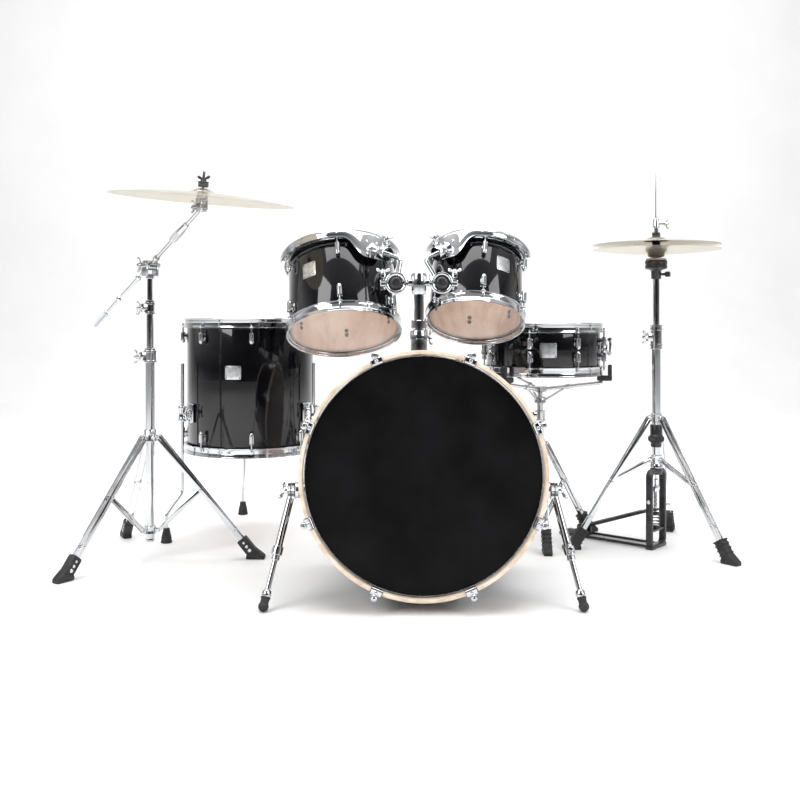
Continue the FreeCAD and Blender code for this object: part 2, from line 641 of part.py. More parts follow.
strainer_angle = -9
strainer_turn = Rotation(Z_AXIS, strainer_angle)
strainer = fuse("strainer_fuse",
                block("strainer_plate", on_snare(strainer_angle, "snare_radius + 4.4", 70),
                      ("8", "30", "62"), strainer_turn),
                block("strainer_case", on_snare(strainer_angle, "snare_radius + 14", 66),
                      ("14", "22", "40"), strainer_turn),
                rod("strainer_knob", on_snare(strainer_angle, "snare_radius + 14", 84),
                    on_snare(strainer_angle, "snare_radius + 14", 98), "6.4"))
butt = block("butt_plate", on_snare(strainer_angle + 180, "snare_radius + 7.4", 66),
             ("14", "26", "44"), strainer_turn)
subpart("snare_strainer", group("strainer_set", strainer, butt))
lever_pin = on_snare(strainer_angle, "snare_radius + 27.6", 52)
lever_side = strainer_turn.multVec(Y_AXIS)
lever = fuse("lever_fuse",
             rod("lever_hub", lever_pin - lever_side * 9, lever_pin + lever_side * 9, "6"),
             bar("lever_arm", lever_pin, lever_pin + Vector(0, 0, 44), "12", "14", lever_side),
             rod("lever_tip", lever_pin + Vector(0, 0, 44) - lever_side * 8,
                 lever_pin + Vector(0, 0, 44) + lever_side * 8, "7"))
subpart("strainer_lever", lever)
wires = [rod(f"wire_{number}",
             on_snare(strainer_angle, 148, -5.2) + lever_side * (number - 9.5) * 2.1,
             on_snare(strainer_angle, -148, -5.2) + lever_side * (number - 9.5) * 2.1, "0.8")
         for number in range(20)]
ends = [block(f"wire_end_{number}", on_snare(strainer_angle, place, -5.2), ("10", "46", "2"),
              strainer_turn) for number, place in enumerate((149, -149))]
subpart("snare_wires", fuse("snare_wires_fuse", *wires, *ends))


def axis_point(x, y):
    """A function for points about one upright stand: direction, distance and height."""
    def point(angle, distance, height):
        out = Rotation(Z_AXIS, angle).multVec(Vector(size(distance), 0, 0))
        return spot(x, y, height) + out
    return point


LEG_END, BOOT_LENGTH = 14, 56


def double_bar(name, start, end, width, thickness, spread):
    """Two flat parallel bars in upright planes, side by side about the line between two points."""
    run = end - start
    side = run.cross(Z_AXIS).normalize()
    return [bar(f"{name}_bar_{number}", start + side * offset, end + side * offset,
                width, thickness, side)
            for number, offset in enumerate((-spread, spread))]


def rubber_pad(name, foot, direction, climb):
    """A rubber boot: a sole flat on the floor with a toe, and a sleeve up the stand's leg."""
    turn = Rotation(Z_AXIS, math.degrees(math.atan2(direction.y, direction.x)))
    ankle = foot + Vector(0, 0, LEG_END)
    sleeve = bar(name + "_sleeve", ankle, ankle + climb * BOOT_LENGTH, "30", "26",
                 turn.multVec(Y_AXIS))
    low = block(name + "_sole", foot + direction * 2 + Vector(0, 0, 9), ("44", "26", "18"), turn)
    top = rod(name + "_toe", foot + direction * 24 + Vector(0, 0, 9) - turn.multVec(Y_AXIS) * 13,
              foot + direction * 24 + Vector(0, 0, 9) + turn.multVec(Y_AXIS) * 13, "9")
    return fuse(name, low, top, sleeve)


def fixed_tripod(name, point, angles, feet, hub_low, hub_high, brace_low, knee):
    """Three double-bar legs from a hub to the floor, each with a brace, set up and locked."""
    pieces, pads = [], []
    for number, angle in enumerate(angles):
        word = f"{name}_{number}"
        top = point(angle, 22, hub_high)
        low = point(angle, f"{feet} - 26", LEG_END)
        mid = top + (low - top) * knee
        pieces += double_bar(word + "_leg", top, low, "13", "3", 9)
        pieces += double_bar(word + "_brace", point(angle, 20, brace_low), mid, "11", "3", 5)
        for pin, place in (("top", top), ("knee", mid), ("low", point(angle, 20, brace_low))):
            side = (low - top).cross(Z_AXIS).normalize()
            pieces.append(rod(f"{word}_{pin}_pin", place - side * 11.5, place + side * 11.5, "3.2"))
        direction = Rotation(Z_AXIS, angle).multVec(X_AXIS)
        pad = rubber_pad(word + "_pad", point(angle, f"{feet} - 26", 0), direction,
                         (top - low).normalize())
        clear = double_bar(word + "_clear", top, low + (low - top) * 0.06, "13.8", "3.8", 9)
        pads.append(cut(word + "_pad_cut", pad, *clear))
        for place, height in (("upper", hub_high), ("lower", brace_low)):
            pieces.append(block(f"{word}_{place}_ear", point(angle, 17, height), ("18", "7", "16"),
                                Rotation(Z_AXIS, angle)))
    for place, height in (("upper", hub_high), ("lower", brace_low)):
        pieces.append(rod(f"{name}_{place}_collar", point(0, 0, height - 12),
                          point(0, 0, height + 14), "tube_radius + 5"))
    return pieces, pads


snare_point = axis_point("snare_stand_x", "snare_stand_y")
snare_legs, snare_pads = fixed_tripod("snare_leg", snare_point, (268, 31, 148), "snare_feet",
                                      150, 300, 60, 0.42)
snare_tube = rod("snare_tube", snare_point(0, 0, 44), snare_point(0, 0, "snare_tube_top"),
                 "snare_tube_radius")
snare_clamp = rod("snare_clamp", snare_point(0, 0, "snare_tube_top - 30"),
                  snare_point(0, 0, "snare_tube_top + 4"), "snare_tube_radius + 5")
snare_wing = block("snare_wing", snare_point(200, 30, "snare_tube_top - 12"), ("26", "8", "24"),
                   Rotation(Z_AXIS, 200))
snare_bore = rod("snare_bore", snare_point(0, 0, 200), snare_point(0, 0, 420), "9.5 + gap")
subpart("snare_stand", cut("snare_stand_cut", fuse("snare_stand_fuse", snare_tube, snare_clamp,
                                                   snare_wing, *snare_legs), snare_bore))

basket_pieces = [
    rod("basket_tube", snare_point(0, 0, 280), snare_point(0, 0, 446), "9.5"),
    rod("basket_nut", snare_point(0, 0, 425), snare_point(0, 0, 448), "19"),
    rod("basket_screw", snare_point(0, 0, 440), snare_point(0, 0, 478), "8"),
    rod("basket_crown", snare_point(0, 0, 462), snare_point(0, 0, 480), "23"),
]
basket_tips = []
for number, angle in enumerate((-12, 108, 228)):
    inner = snare_point(angle, 14, 471)
    rim = on_snare(angle, "snare_radius + 6", -38)
    basket_pieces.append(rod(f"basket_arm_{number}", inner, rim, "5.5"))
    strut_low = snare_point(angle, 15, 436)
    basket_pieces.append(rod(f"basket_strut_{number}", strut_low, inner + (rim - inner) * 0.4, "3.5"))
    shelf = block(f"basket_shelf_{number}", on_snare(angle, "snare_radius + 12", -24),
                  ("46", "18", "17"), Rotation(Z_AXIS, angle))
    horn = block(f"basket_horn_{number}", on_snare(angle, "snare_radius + 28.5", -5),
                 ("13", "18", "46"), Rotation(Z_AXIS, angle))
    socket = rod(f"basket_socket_{number}", inner, rim, "5.5 + gap")
    basket_tips.append(cut(f"basket_tip_{number}", fuse(f"basket_tip_fuse_{number}", shelf, horn),
                           socket))
subpart("snare_basket", group("snare_basket_set", fuse("snare_basket_fuse", *basket_pieces),
                              *basket_tips))


# ---- boom cymbal stand ----------------------------------------------------------------------

boom_point = axis_point("boom_x", "boom_y")
base_tube = rod("boom_base_tube", boom_point(0, 0, 52), boom_point(0, 0, "boom_tube_top"),
                "tube_radius")
base_clamp = rod("boom_base_clamp", boom_point(0, 0, "boom_tube_top - 30"),
                 boom_point(0, 0, "boom_tube_top + 5"), "tube_radius + 5.5")
base_ear = block("boom_base_ear", boom_point(215, 27, "boom_tube_top - 12"), ("24", "16", "26"),
                 Rotation(Z_AXIS, 215))
base_wing = block("boom_base_wing", boom_point(215, 46, "boom_tube_top - 12"), ("16", "7", "40"),
                  Rotation(Z_AXIS, 215))
base_bore = rod("boom_base_bore", boom_point(0, 0, 400), boom_point(0, 0, 620), "tube_radius - 2.6")
bracket = rod("boom_bracket", boom_point(0, 0, "boom_bracket_height - 12"),
              boom_point(0, 0, "boom_bracket_height + 12"), "tube_radius + 5")
BOOM_ANGLES = (238, 358, 118)
bracket_ears = [block(f"boom_bracket_ear_{number}",
                      boom_point(angle, "pivot_out - 3", "boom_bracket_height"), ("18", "6", "14"),
                      Rotation(Z_AXIS, angle)) for number, angle in enumerate(BOOM_ANGLES)]
subpart("boom_stand_tube", cut("boom_tube_cut", fuse("boom_tube_fuse", base_tube, base_clamp, base_ear,
                                                     base_wing, bracket, *bracket_ears), base_bore))

hub = fuse("boom_hub_fuse",
           rod("boom_hub_collar", boom_point(0, 0, "hub_height - 14"),
               boom_point(0, 0, "hub_height + 22"), "tube_radius + 6"),
           *[block(f"boom_hub_ear_{number}", boom_point(angle, "pivot_out - 3", "hub_height"),
                   ("18", "6", "14"), Rotation(Z_AXIS, angle))
             for number, angle in enumerate(BOOM_ANGLES)],
           block("boom_hub_wing", boom_point(300, 36, "hub_height + 12"), ("14", "6", "34"),
                 Rotation(Z_AXIS, 300)),
           rod("boom_hub_screw", boom_point(300, 14, "hub_height + 12"),
               boom_point(300, 34, "hub_height + 12"), "4"))
hub_bore = rod("boom_hub_bore", boom_point(0, 0, 300), boom_point(0, 0, 400), "tube_radius + gap")
subpart("boom_stand_hub", cut("boom_hub_cut", hub, hub_bore))

for number, angle in enumerate(BOOM_ANGLES):
    top = boom_point(angle, "pivot_out + 2", "hub_height")
    low = boom_point(angle, "boom_feet - 26", LEG_END)
    knee = top + (low - top) * size("bar_middle")
    side = (low - top).cross(Z_AXIS).normalize()
    word = f"boom_leg_{number}"
    direction = Rotation(Z_AXIS, angle).multVec(X_AXIS)
    bars = double_bar(word, top, low, "15", "3", 9)
    knee_pins = [rod(f"{word}_knee_{k}", knee + side * 7 * k, knee + side * 12 * k, "3.5")
                 for k in (-1, 1)]
    pins = [rod(word + "_top_pin_in", top - side * 12, top - side * 3.6, "3.2"),
            rod(word + "_top_pin_out", top + side * 3.6, top + side * 12, "3.2")]
    pad = rubber_pad(word + "_pad", boom_point(angle, "boom_feet - 26", 0), direction,
                     (top - low).normalize())
    clear = double_bar(word + "_clear", top, low + (low - top) * 0.05, "15.8", "3.8", 9)
    subpart(f"boom_stand_leg_{number + 1}",
            group(word + "_set", fuse(word + "_fuse", *bars, *knee_pins, *pins),
                  cut(word + "_pad_cut", pad, *clear)))
    start = boom_point(angle, "pivot_out + 2", "boom_bracket_height")
    end = knee + (knee - start).normalize() * 5
    braces = double_bar(f"boom_brace_{number}", start, end, "12", "2.6", 4.9)
    brace_pin = [rod(f"boom_brace_{number}_pin_{k}", start + side * 3.5 * k, start + side * 8 * k, "3.2")
                 for k in (-1, 1)]
    tie = rod(f"boom_brace_{number}_tie", knee - side * 6.3, knee + side * 6.3, "3.5")
    subpart(f"boom_stand_brace_{number + 1}",
            fuse(f"boom_brace_fuse_{number}", *braces, *brace_pin, tie))

tilter_spot = boom_point(0, 0, "tilter_height")
boom_run = Vector(0.657, -0.5, 0.563).normalize()
boom_side = boom_run.cross(Z_AXIS).normalize()
mid_tube = rod("boom_mid_tube", boom_point(0, 0, 440), boom_point(0, 0, 712), "tube_radius - 3")
mid_clamp = rod("boom_mid_clamp", boom_point(0, 0, 706), boom_point(0, 0, 740), "14.5")
mid_ear = block("boom_mid_ear", boom_point(215, 22, 722), ("20", "14", "22"), Rotation(Z_AXIS, 215))
mid_wing = block("boom_mid_wing", boom_point(215, 38, 722), ("14", "6", "36"), Rotation(Z_AXIS, 215))
top_tube = rod("boom_top_tube", boom_point(0, 0, 730), boom_point(0, 0, "tilter_height - 26"), "8")
fork = [block(f"boom_fork_{number}", tilter_spot + boom_side * (19 * k) - Vector(0, 0, 8),
              ("26", "5", "48"), Rotation(Z_AXIS, math.degrees(math.atan2(boom_run.y, boom_run.x))))
        for number, k in enumerate((-1, 1))]
fork_base = block("boom_fork_base", tilter_spot - Vector(0, 0, 29), ("26", "43", "8"),
                  Rotation(Z_AXIS, math.degrees(math.atan2(boom_run.y, boom_run.x))))
fork_pin = [rod(f"boom_fork_pin_{number}", tilter_spot + boom_side * (17 * k),
                tilter_spot + boom_side * (30 * k), "7") for number, k in enumerate((-1, 1))]
fork_wing = block("boom_fork_wing", tilter_spot + boom_side * 36, ("8", "14", "44"),
                  Rotation(Z_AXIS, math.degrees(math.atan2(boom_run.y, boom_run.x))))
subpart("boom_upper_tubes", fuse("boom_upper_fuse", mid_tube, mid_clamp, mid_ear, mid_wing, top_tube,
                                 *fork, fork_base, *fork_pin, fork_wing))

crash_pivot = tilter_spot + boom_run * 268
boom_far = tilter_spot - boom_run * 311
boom_arm = fuse(
    "boom_arm_fuse",
    rod("boom_arm_rod", boom_far + boom_run * 20, crash_pivot - boom_run * 5, "boom_rod_radius"),
    rod("boom_arm_grip", boom_far, boom_far + boom_run * 66, "9"),
    rod("boom_arm_sleeve", tilter_spot + boom_run * 118, tilter_spot + boom_run * 196, "10.5"),
    rod("boom_arm_barrel", tilter_spot - boom_side * 16, tilter_spot + boom_side * 16, "15"),
    *[rod(f"boom_arm_ring_{number}", tilter_spot + boom_run * place,
          tilter_spot + boom_run * (place + 12), "9.5")
      for number, place in enumerate((28, -66, -176))],
    rod("boom_arm_head", crash_pivot - boom_side * 9, crash_pivot + boom_side * 9, "11"))
subpart("boom_arm", boom_arm)

crash_axis = Vector(0.080, -0.052, 1).normalize()
cheeks = [block(f"tilter_cheek_{number}", crash_pivot + boom_side * (12.2 * k) + Vector(0, 0, 9),
                ("20", "5", "36"), Rotation(Z_AXIS, math.degrees(math.atan2(boom_run.y, boom_run.x))))
          for number, k in enumerate((-1, 1))]
bridge = block("tilter_bridge", crash_pivot + Vector(0, 0, 23), ("20", "29.4", "10"),
               Rotation(Z_AXIS, math.degrees(math.atan2(boom_run.y, boom_run.x))))
seat_low = crash_pivot + crash_axis * 26


def crash_spot(height):
    return seat_low + crash_axis * height


tilter = fuse("tilter_fuse", *cheeks, bridge,
              rod("tilter_bolt", crash_pivot + boom_side * 13, crash_pivot + boom_side * 28, "4"),
              block("tilter_wing", crash_pivot + boom_side * 30, ("9", "8", "34"),
                    Rotation(Z_AXIS, math.degrees(math.atan2(boom_run.y, boom_run.x)))),
              rod("tilter_stud", crash_spot(-2), crash_spot(76), "4"),
              rod("tilter_seat", crash_spot(-1), crash_spot(10), "16"))
felts = [rod("tilter_lower_felt", crash_spot(10.3), crash_spot(26), "15"),
         rod("tilter_upper_felt", crash_spot(31.5), crash_spot(44), "15")]
stud_clear = rod("tilter_stud_clear", crash_spot(5), crash_spot(80), "4 + gap")
topper = fuse("tilter_nut_fuse", rod("tilter_washer", crash_spot(44.3), crash_spot(47), "16"),
              rod("tilter_nut", crash_spot(46), crash_spot(58), "7"),
              block("tilter_nut_wing", crash_spot(60), ("34", "6", "12")))
subpart("cymbal_tilter", group("tilter_set", tilter,
                               *[cut(f"tilter_loose_{number}", piece, stud_clear)
                                 for number, piece in enumerate((*felts, topper))]))


def cymbal(name, radius, bow, hole, flip=1):
    """A bowed disc with a raised cup in the middle; flip is -1 for a cymbal turned over."""
    upper = [(hole, f"{bow} + 13"), ("14", f"{bow} + 12.5"), ("26", f"{bow} + 9"),
             ("38", f"{bow} + 1.5"), (f"{radius} * 0.35", f"{bow} * 0.92"),
             (f"{radius} * 0.65", f"{bow} * 0.6"), (f"{radius} * 0.88", f"{bow} * 0.24"),
             (radius, "0")]
    lower = [(across, f"{up} - cymbal_wall") for across, up in reversed(upper)]
    outline = [(across, f"({up}) * {flip}") for across, up in upper + lower]
    return turned(name, outline)


crash_place = Placement(crash_spot(29.6) - crash_axis * size("crash_bow + 13"),
                        Rotation(Z_AXIS, crash_axis))
subpart("crash_cymbal", cymbal("crash_bronze", "crash_radius", "crash_bow", "7"), crash_place)


# ---- hi-hat stand ---------------------------------------------------------------------------

hat_point = axis_point("hat_x", "hat_y")
hat_legs, hat_pads = fixed_tripod("hat_leg", hat_point, (185.6, 307, 66), "hat_feet",
                                  265, 392, 265, 0.5)
frame_turn = Rotation(Z_AXIS, 230)


def on_frame(across, along_pedal, height):
    """A point of the hi-hat's base frame: across the pedal, along it and up."""
    return hat_point(0, 0, height) + frame_turn.multVec(Vector(size(across), size(along_pedal), 0))


frame_pieces = [
    block("frame_left", on_frame(-44.5, 0, 122), ("11", "20", "236"), frame_turn),
    block("frame_right", on_frame(44.5, 0, 122), ("11", "20", "236"), frame_turn),
    block("frame_top", on_frame(0, 0, 233), ("100", "22", "14"), frame_turn),
    block("frame_foot", on_frame(0, 0, 6), ("100", "24", "12"), frame_turn),
    block("frame_shelf", on_frame(0, 0, 55), ("80", "16", "8"), frame_turn),
]
hat_frame = cut("hihat_frame_cut", fuse("hihat_frame_fuse", *frame_pieces),
                rod("frame_bore", hat_point(0, 0, 220), hat_point(0, 0, 250), "9"))
stand_pieces = [
    rod("hat_lower_hub", hat_point(0, 0, 240.3), hat_point(0, 0, 280), "19"),
    rod("hat_dial", hat_point(0, 0, 304), hat_point(0, 0, 372), "24"),
    rod("hat_lower_tube", hat_point(0, 0, 255), hat_point(0, 0, "hat_tube_top"), "tube_radius + 0.5"),
    rod("hat_clamp", hat_point(0, 0, "hat_tube_top"), hat_point(0, 0, "hat_tube_top + 73"), "18"),
    block("hat_clamp_ear", hat_point(200, 27, "hat_tube_top + 40"), ("24", "16", "30"),
          Rotation(Z_AXIS, 200)),
    block("hat_clamp_wing", hat_point(200, 46, "hat_tube_top + 40"), ("14", "7", "42"),
          Rotation(Z_AXIS, 200)),
]
hat_bore = rod("hat_bore", hat_point(0, 0, 378), hat_point(0, 0, 690), "hat_upper_radius + gap")
hat_rod_bore = rod("hat_rod_bore", hat_point(0, 0, 230), hat_point(0, 0, 400), "hat_rod_radius + 5.5")
subpart("hihat_stand", cut("hihat_stand_cut", fuse("hihat_stand_fuse", *stand_pieces, *hat_legs),
                           hat_bore, hat_rod_bore))

pedal_side = frame_turn.multVec(X_AXIS)
upper_tube = cut("hat_upper_cut",
                 rod("hat_upper_tube", hat_point(0, 0, 440), hat_point(0, 0, 815), "hat_upper_radius"),
                 rod("hat_upper_bore", hat_point(0, 0, 430), hat_point(0, 0, 900), "hat_rod_radius + 2"))
subpart("hihat_upper_tube", upper_tube)
seat = fuse("hat_seat_fuse",
            rod("hat_seat_low", hat_point(0, 0, 812), hat_point(0, 0, 842), "15"),
            rod("hat_seat_cup", hat_point(0, 0, 838), hat_point(0, 0, 868), "33"),
            rod("hat_seat_felt", hat_point(0, 0, 867), hat_point(0, 0, 874), "30"),
            rod("hat_seat_screw", hat_point(330, 12, 826), hat_point(330, 40, 826), "4"),
            rod("hat_seat_knob", hat_point(330, 28, 826), hat_point(330, 42, 826), "8"))
seat_bore = rod("hat_seat_bore", hat_point(0, 0, 800), hat_point(0, 0, 815.4), "hat_upper_radius + gap")
seat_rod_bore = rod("hat_seat_rod_bore", hat_point(0, 0, 800), hat_point(0, 0, 900),
                    "hat_rod_radius + 2")
subpart("hihat_seat", cut("hihat_seat_cut", seat, seat_bore, seat_rod_bore))
bottom_hat = cymbal("hat_bottom_bronze", "hat_radius", "hat_bow", "7", -1)
subpart("hihat_bottom_cymbal", bottom_hat,
        Placement(hat_point(0, 0, "874.5 + hat_bow + 13"), NO_TURN))
top_hat = cymbal("hat_top_bronze", "hat_radius", "hat_bow", "7")
top_hat_base = "874.5 + hat_bow + 13 + hat_gap"
subpart("hihat_top_cymbal", top_hat, Placement(hat_point(0, 0, top_hat_base), NO_TURN))
cup_top = f"{top_hat_base} + hat_bow + 13"
clutch = fuse("hat_clutch_fuse",
              rod("clutch_sleeve", hat_point(0, 0, f"{cup_top} - 16"),
                  hat_point(0, 0, f"{cup_top} + 48"), "6.4"),
              rod("clutch_low_felt", hat_point(0, 0, f"{cup_top} - 14"),
                  hat_point(0, 0, f"{cup_top} - 3"), "12"),
              rod("clutch_felt", hat_point(0, 0, f"{cup_top} + 0.5"),
                  hat_point(0, 0, f"{cup_top} + 14"), "14"),
              rod("clutch_nut", hat_point(0, 0, f"{cup_top} + 14"),
                  hat_point(0, 0, f"{cup_top} + 24"), "12"),
              rod("clutch_body", hat_point(0, 0, f"{cup_top} + 38"),
                  hat_point(0, 0, f"{cup_top} + 66"), "10"),
              rod("clutch_screw", hat_point(0, 8, f"{cup_top} + 52"),
                  hat_point(0, 30, f"{cup_top} + 52"), "4"),
              block("clutch_wing", hat_point(0, 32, f"{cup_top} + 52"), ("8", "6", "28")))
clutch_bore = rod("clutch_bore", hat_point(0, 0, f"{cup_top} - 30"),
                  hat_point(0, 0, f"{cup_top} + 90"), "hat_rod_radius + gap")
subpart("hihat_clutch", cut("hihat_clutch_cut", clutch, clutch_bore))

TOE = -2
pull = fuse("hat_pull_fuse",
            rod("hat_pull_rod", hat_point(0, 0, 196), hat_point(0, 0, "hat_rod_top"), "hat_rod_radius"),
            rod("hat_pull_plug", hat_point(0, 0, 186), hat_point(0, 0, 208), "7.5"),
            block("hat_pull_yoke", hat_point(0, 0, 178), ("36", "12", "18"), frame_turn))
links = [rod(f"chain_link_{number}", on_frame(0, TOE, low) - pedal_side * 6,
             on_frame(0, TOE, low) + pedal_side * 6, "5")
         for number, low in enumerate((163, 151, 139, 127))]
subpart("hihat_pull_rod", group("hat_pull_set", pull, *links))
coil_height, coil_turns = 44, 6
coil = doc.addObject("Part::Helix", "hat_coil_path")
bind(coil, Pitch=str(coil_height / coil_turns), Height=str(coil_height), Radius="11")
doc.recompute()
coil_wire = doc.addObject("Part::Feature", "hat_coil")
wire_ring = Part.Wire([Part.makeCircle(1.6, Vector(11, 0, 0), Vector(0, 1, 0.12))])
coil_wire.Shape = Part.Wire(coil.Shape.Edges).makePipeShell([wire_ring], True, True)
coil_wire.Placement = Placement(hat_point(0, 0, 61), NO_TURN)
subpart("hihat_spring", coil_wire)

toe = on_frame(0, TOE - 24, 112)
heel_pin = on_frame(0, -246, 34)
board_run = (toe - heel_pin).normalize()
board_up = pedal_side.cross(board_run).normalize()
board = fuse("footboard_fuse",
             bar("footboard_plate", heel_pin + board_run * 12, toe, "64", "6", board_up),
             bar("footboard_rib", heel_pin + board_run * 12 - board_up * 5,
                 toe - board_up * 5, "12", "8", board_up),
             block("footboard_tongue", on_frame(0, TOE - 10, 114), ("26", "34", "8"), frame_turn),
             rod("footboard_knuckle", heel_pin - pedal_side * 20, heel_pin + pedal_side * 20, "7"),
             bar("footboard_neck", heel_pin, heel_pin + board_run * 16, "38", "6", board_up))
board_clear = rod("footboard_pin_space", heel_pin - pedal_side * 40, heel_pin + pedal_side * 40,
                  "3 + 0.5")
subpart("hihat_footboard", cut("footboard_cut", board, board_clear))
heel_plate = fuse("heel_plate_fuse",
                  block("heel_sole", on_frame(0, -277, 6), ("66", "86", "12"), frame_turn),
                  *[block(f"heel_ear_{number}", on_frame(k * 26, -246, 26), ("9", "20", "34"),
                          frame_turn) for number, k in enumerate((-1, 1))],
                  rod("heel_pin", heel_pin - pedal_side * 31, heel_pin + pedal_side * 31, "3"),
                  *[rod(f"base_rod_{number}", on_frame(k * 29, -240, 6), on_frame(k * 29, -12.3, 6),
                        "4") for number, k in enumerate((-1, 1))])
subpart("hihat_frame", group("hihat_frame_set", hat_frame, heel_plate))

subpart("rubber_feet", group("rubber_feet_set", *floor_feet, *snare_pads, *hat_pads))


# ---- checks and files -----------------------------------------------------------------------

doc.recompute()
failed = [item.Label for item in doc.Objects if {"Invalid", "Error"} & set(item.State)]
failed += [piece.Label for piece in subparts if piece.Shape.isNull() or not piece.Shape.isValid()]
if failed:
    raise SystemExit("failed: " + ", ".join(failed))

os.makedirs("parts", exist_ok=True)
whole = FreeCAD.BoundBox()
for piece in subparts:
    piece.Shape.exportStep(f"parts/{piece.Label}.step")
    whole.add(piece.Shape.BoundBox)
    print(piece.Label, len(piece.Shape.Solids), round(piece.Shape.Volume))
print(len(subparts), "sub-parts", whole)
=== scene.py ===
# %% [markdown]
# # A drum kit, built around its CAD frame
# The CAD model already holds every size, place and joint. Here each visible part gets the
# shape and the finish that a camera sees.

# %% Load the frame
import json
import bmesh
import bpy
import numpy as np
from mathutils import Matrix, Vector


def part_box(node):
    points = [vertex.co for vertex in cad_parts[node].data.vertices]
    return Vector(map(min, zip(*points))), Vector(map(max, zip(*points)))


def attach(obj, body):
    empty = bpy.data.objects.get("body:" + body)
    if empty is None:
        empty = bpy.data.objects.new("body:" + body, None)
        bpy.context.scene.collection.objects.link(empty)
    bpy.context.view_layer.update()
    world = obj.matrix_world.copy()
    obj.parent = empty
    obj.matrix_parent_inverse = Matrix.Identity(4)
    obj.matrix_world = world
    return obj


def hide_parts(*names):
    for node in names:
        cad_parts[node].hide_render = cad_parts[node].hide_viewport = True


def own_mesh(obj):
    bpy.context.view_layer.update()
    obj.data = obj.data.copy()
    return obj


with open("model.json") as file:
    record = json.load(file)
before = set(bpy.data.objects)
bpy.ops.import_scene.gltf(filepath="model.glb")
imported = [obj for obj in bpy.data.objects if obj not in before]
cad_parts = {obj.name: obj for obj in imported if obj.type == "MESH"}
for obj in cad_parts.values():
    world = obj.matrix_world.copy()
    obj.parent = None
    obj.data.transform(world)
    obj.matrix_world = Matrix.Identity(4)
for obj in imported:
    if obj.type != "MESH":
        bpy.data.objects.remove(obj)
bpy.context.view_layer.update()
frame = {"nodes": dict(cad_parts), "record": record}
scene = bpy.context.scene

# %% [markdown]
# ## Camera, floor and light
# The lens is shifted down rather than tilted, so upright tubes stay upright.

# %% Camera
LENS = 45.0
EYE = Vector((-0.015, -2.933, 0.700))
LENS_SHIFT = -0.105

camera_data = bpy.data.cameras.new("camera")
camera_data.lens = LENS
camera_data.sensor_width = 36.0
camera_data.shift_y = LENS_SHIFT
camera = bpy.data.objects.new("camera", camera_data)
camera.location = EYE
camera.rotation_euler = (np.pi / 2, 0.0, 0.0)
scene.collection.objects.link(camera)
scene.camera = camera
print("camera lens", LENS)

# %% [markdown]
# ## Surfaces as arrays
# Every new shape is a grid of points worked out by a formula, with quads between neighbours.
# Shapes are kept as (points, faces) pairs, so that a lug, its foot and its rod can be worked out
# one by one and joined in one piece at the end.

# %% Grids, turned shapes and boxes
UP, ORIGIN = (0, 0, 1), (0, 0, 0)


def quads(rows, columns, wrap_rows=False, wrap_columns=False):
    """Faces between neighbouring points of a grid, joined end to end where it wraps."""
    i, j = np.meshgrid(np.arange(rows - (not wrap_rows)), np.arange(columns - (not wrap_columns)),
                       indexing="ij")
    down, right = (i + 1) % rows, (j + 1) % columns
    return np.stack([i * columns + j, i * columns + right, down * columns + right,
                     down * columns + j], axis=-1).reshape(-1, 4)


def unit(v):
    """v scaled to length one, along its last axis."""
    v = np.asarray(v, float)
    return v / np.linalg.norm(v, axis=-1, keepdims=True)


def across(axis):
    """Two unit vectors square to an axis and to each other: a reference x or z, made square."""
    axis = unit(axis)
    guide = np.array([0.0, 0.0, 1.0]) if abs(axis[2]) < 0.9 else np.array([1.0, 0.0, 0.0])
    first = unit(np.cross(guide, axis))
    return first, np.cross(axis, first)


def turned(profile, base, axis, steps=48, closed=False):
    """A profile of (radius, height) turned round an axis:
    point = base + radius (cos a x + sin a y) + height axis."""
    profile = np.asarray(profile, float)
    x, y = across(axis)
    a = np.linspace(0, 2 * np.pi, steps, endpoint=False)
    ring = np.cos(a)[:, None] * x + np.sin(a)[:, None] * y
    points = (np.asarray(base, float) + profile[:, None, :1] * ring[None]
              + profile[:, None, 1:] * unit(axis))
    return points.reshape(-1, 3), quads(len(profile), steps, closed, True)


def closed_sheet(outer, inner):
    """Two facing grids joined round all four edges, so that a thin sheet is a closed solid."""
    rows, columns = outer.shape[:2]
    k, last = np.arange(rows - 1) * columns, (2 * rows - 1) * columns
    caps = [np.stack([k, k + columns, last - columns - k, last - k], -1) + side
            for side in (0, columns - 1)]
    points = np.concatenate([outer, inner[::-1]]).reshape(-1, 3)
    return points, np.concatenate([quads(2 * rows, columns, True), *caps])


def fluted(profile, base, axis, waves, share):
    """A turned shape cut in teeth: radius x (1 - share + share cos(waves a)), 4 points a tooth."""
    points, faces = turned(profile, ORIGIN, axis, waves * 4)
    a = np.tile(np.linspace(0, 2 * np.pi, waves * 4, endpoint=False), len(profile))[:, None]
    along = points @ unit(axis)[:, None] * unit(axis)
    rim = (points - along) * (1 - share + share * np.cos(waves * a))
    return rim + along + np.asarray(base, float), faces


def plug(start, end, radius, steps=24, edge=0.0006):
    """A round bar with small bevels, closed at both ends."""
    start, end = np.asarray(start, float), np.asarray(end, float)
    high = np.linalg.norm(end - start)
    edge = min(edge, radius * 0.4, high * 0.3)
    profile = [(0, 0), (radius - edge, 0), (radius, edge), (radius, high - edge),
               (radius - edge, high), (0, high)]
    return turned(profile, start, end - start, steps)


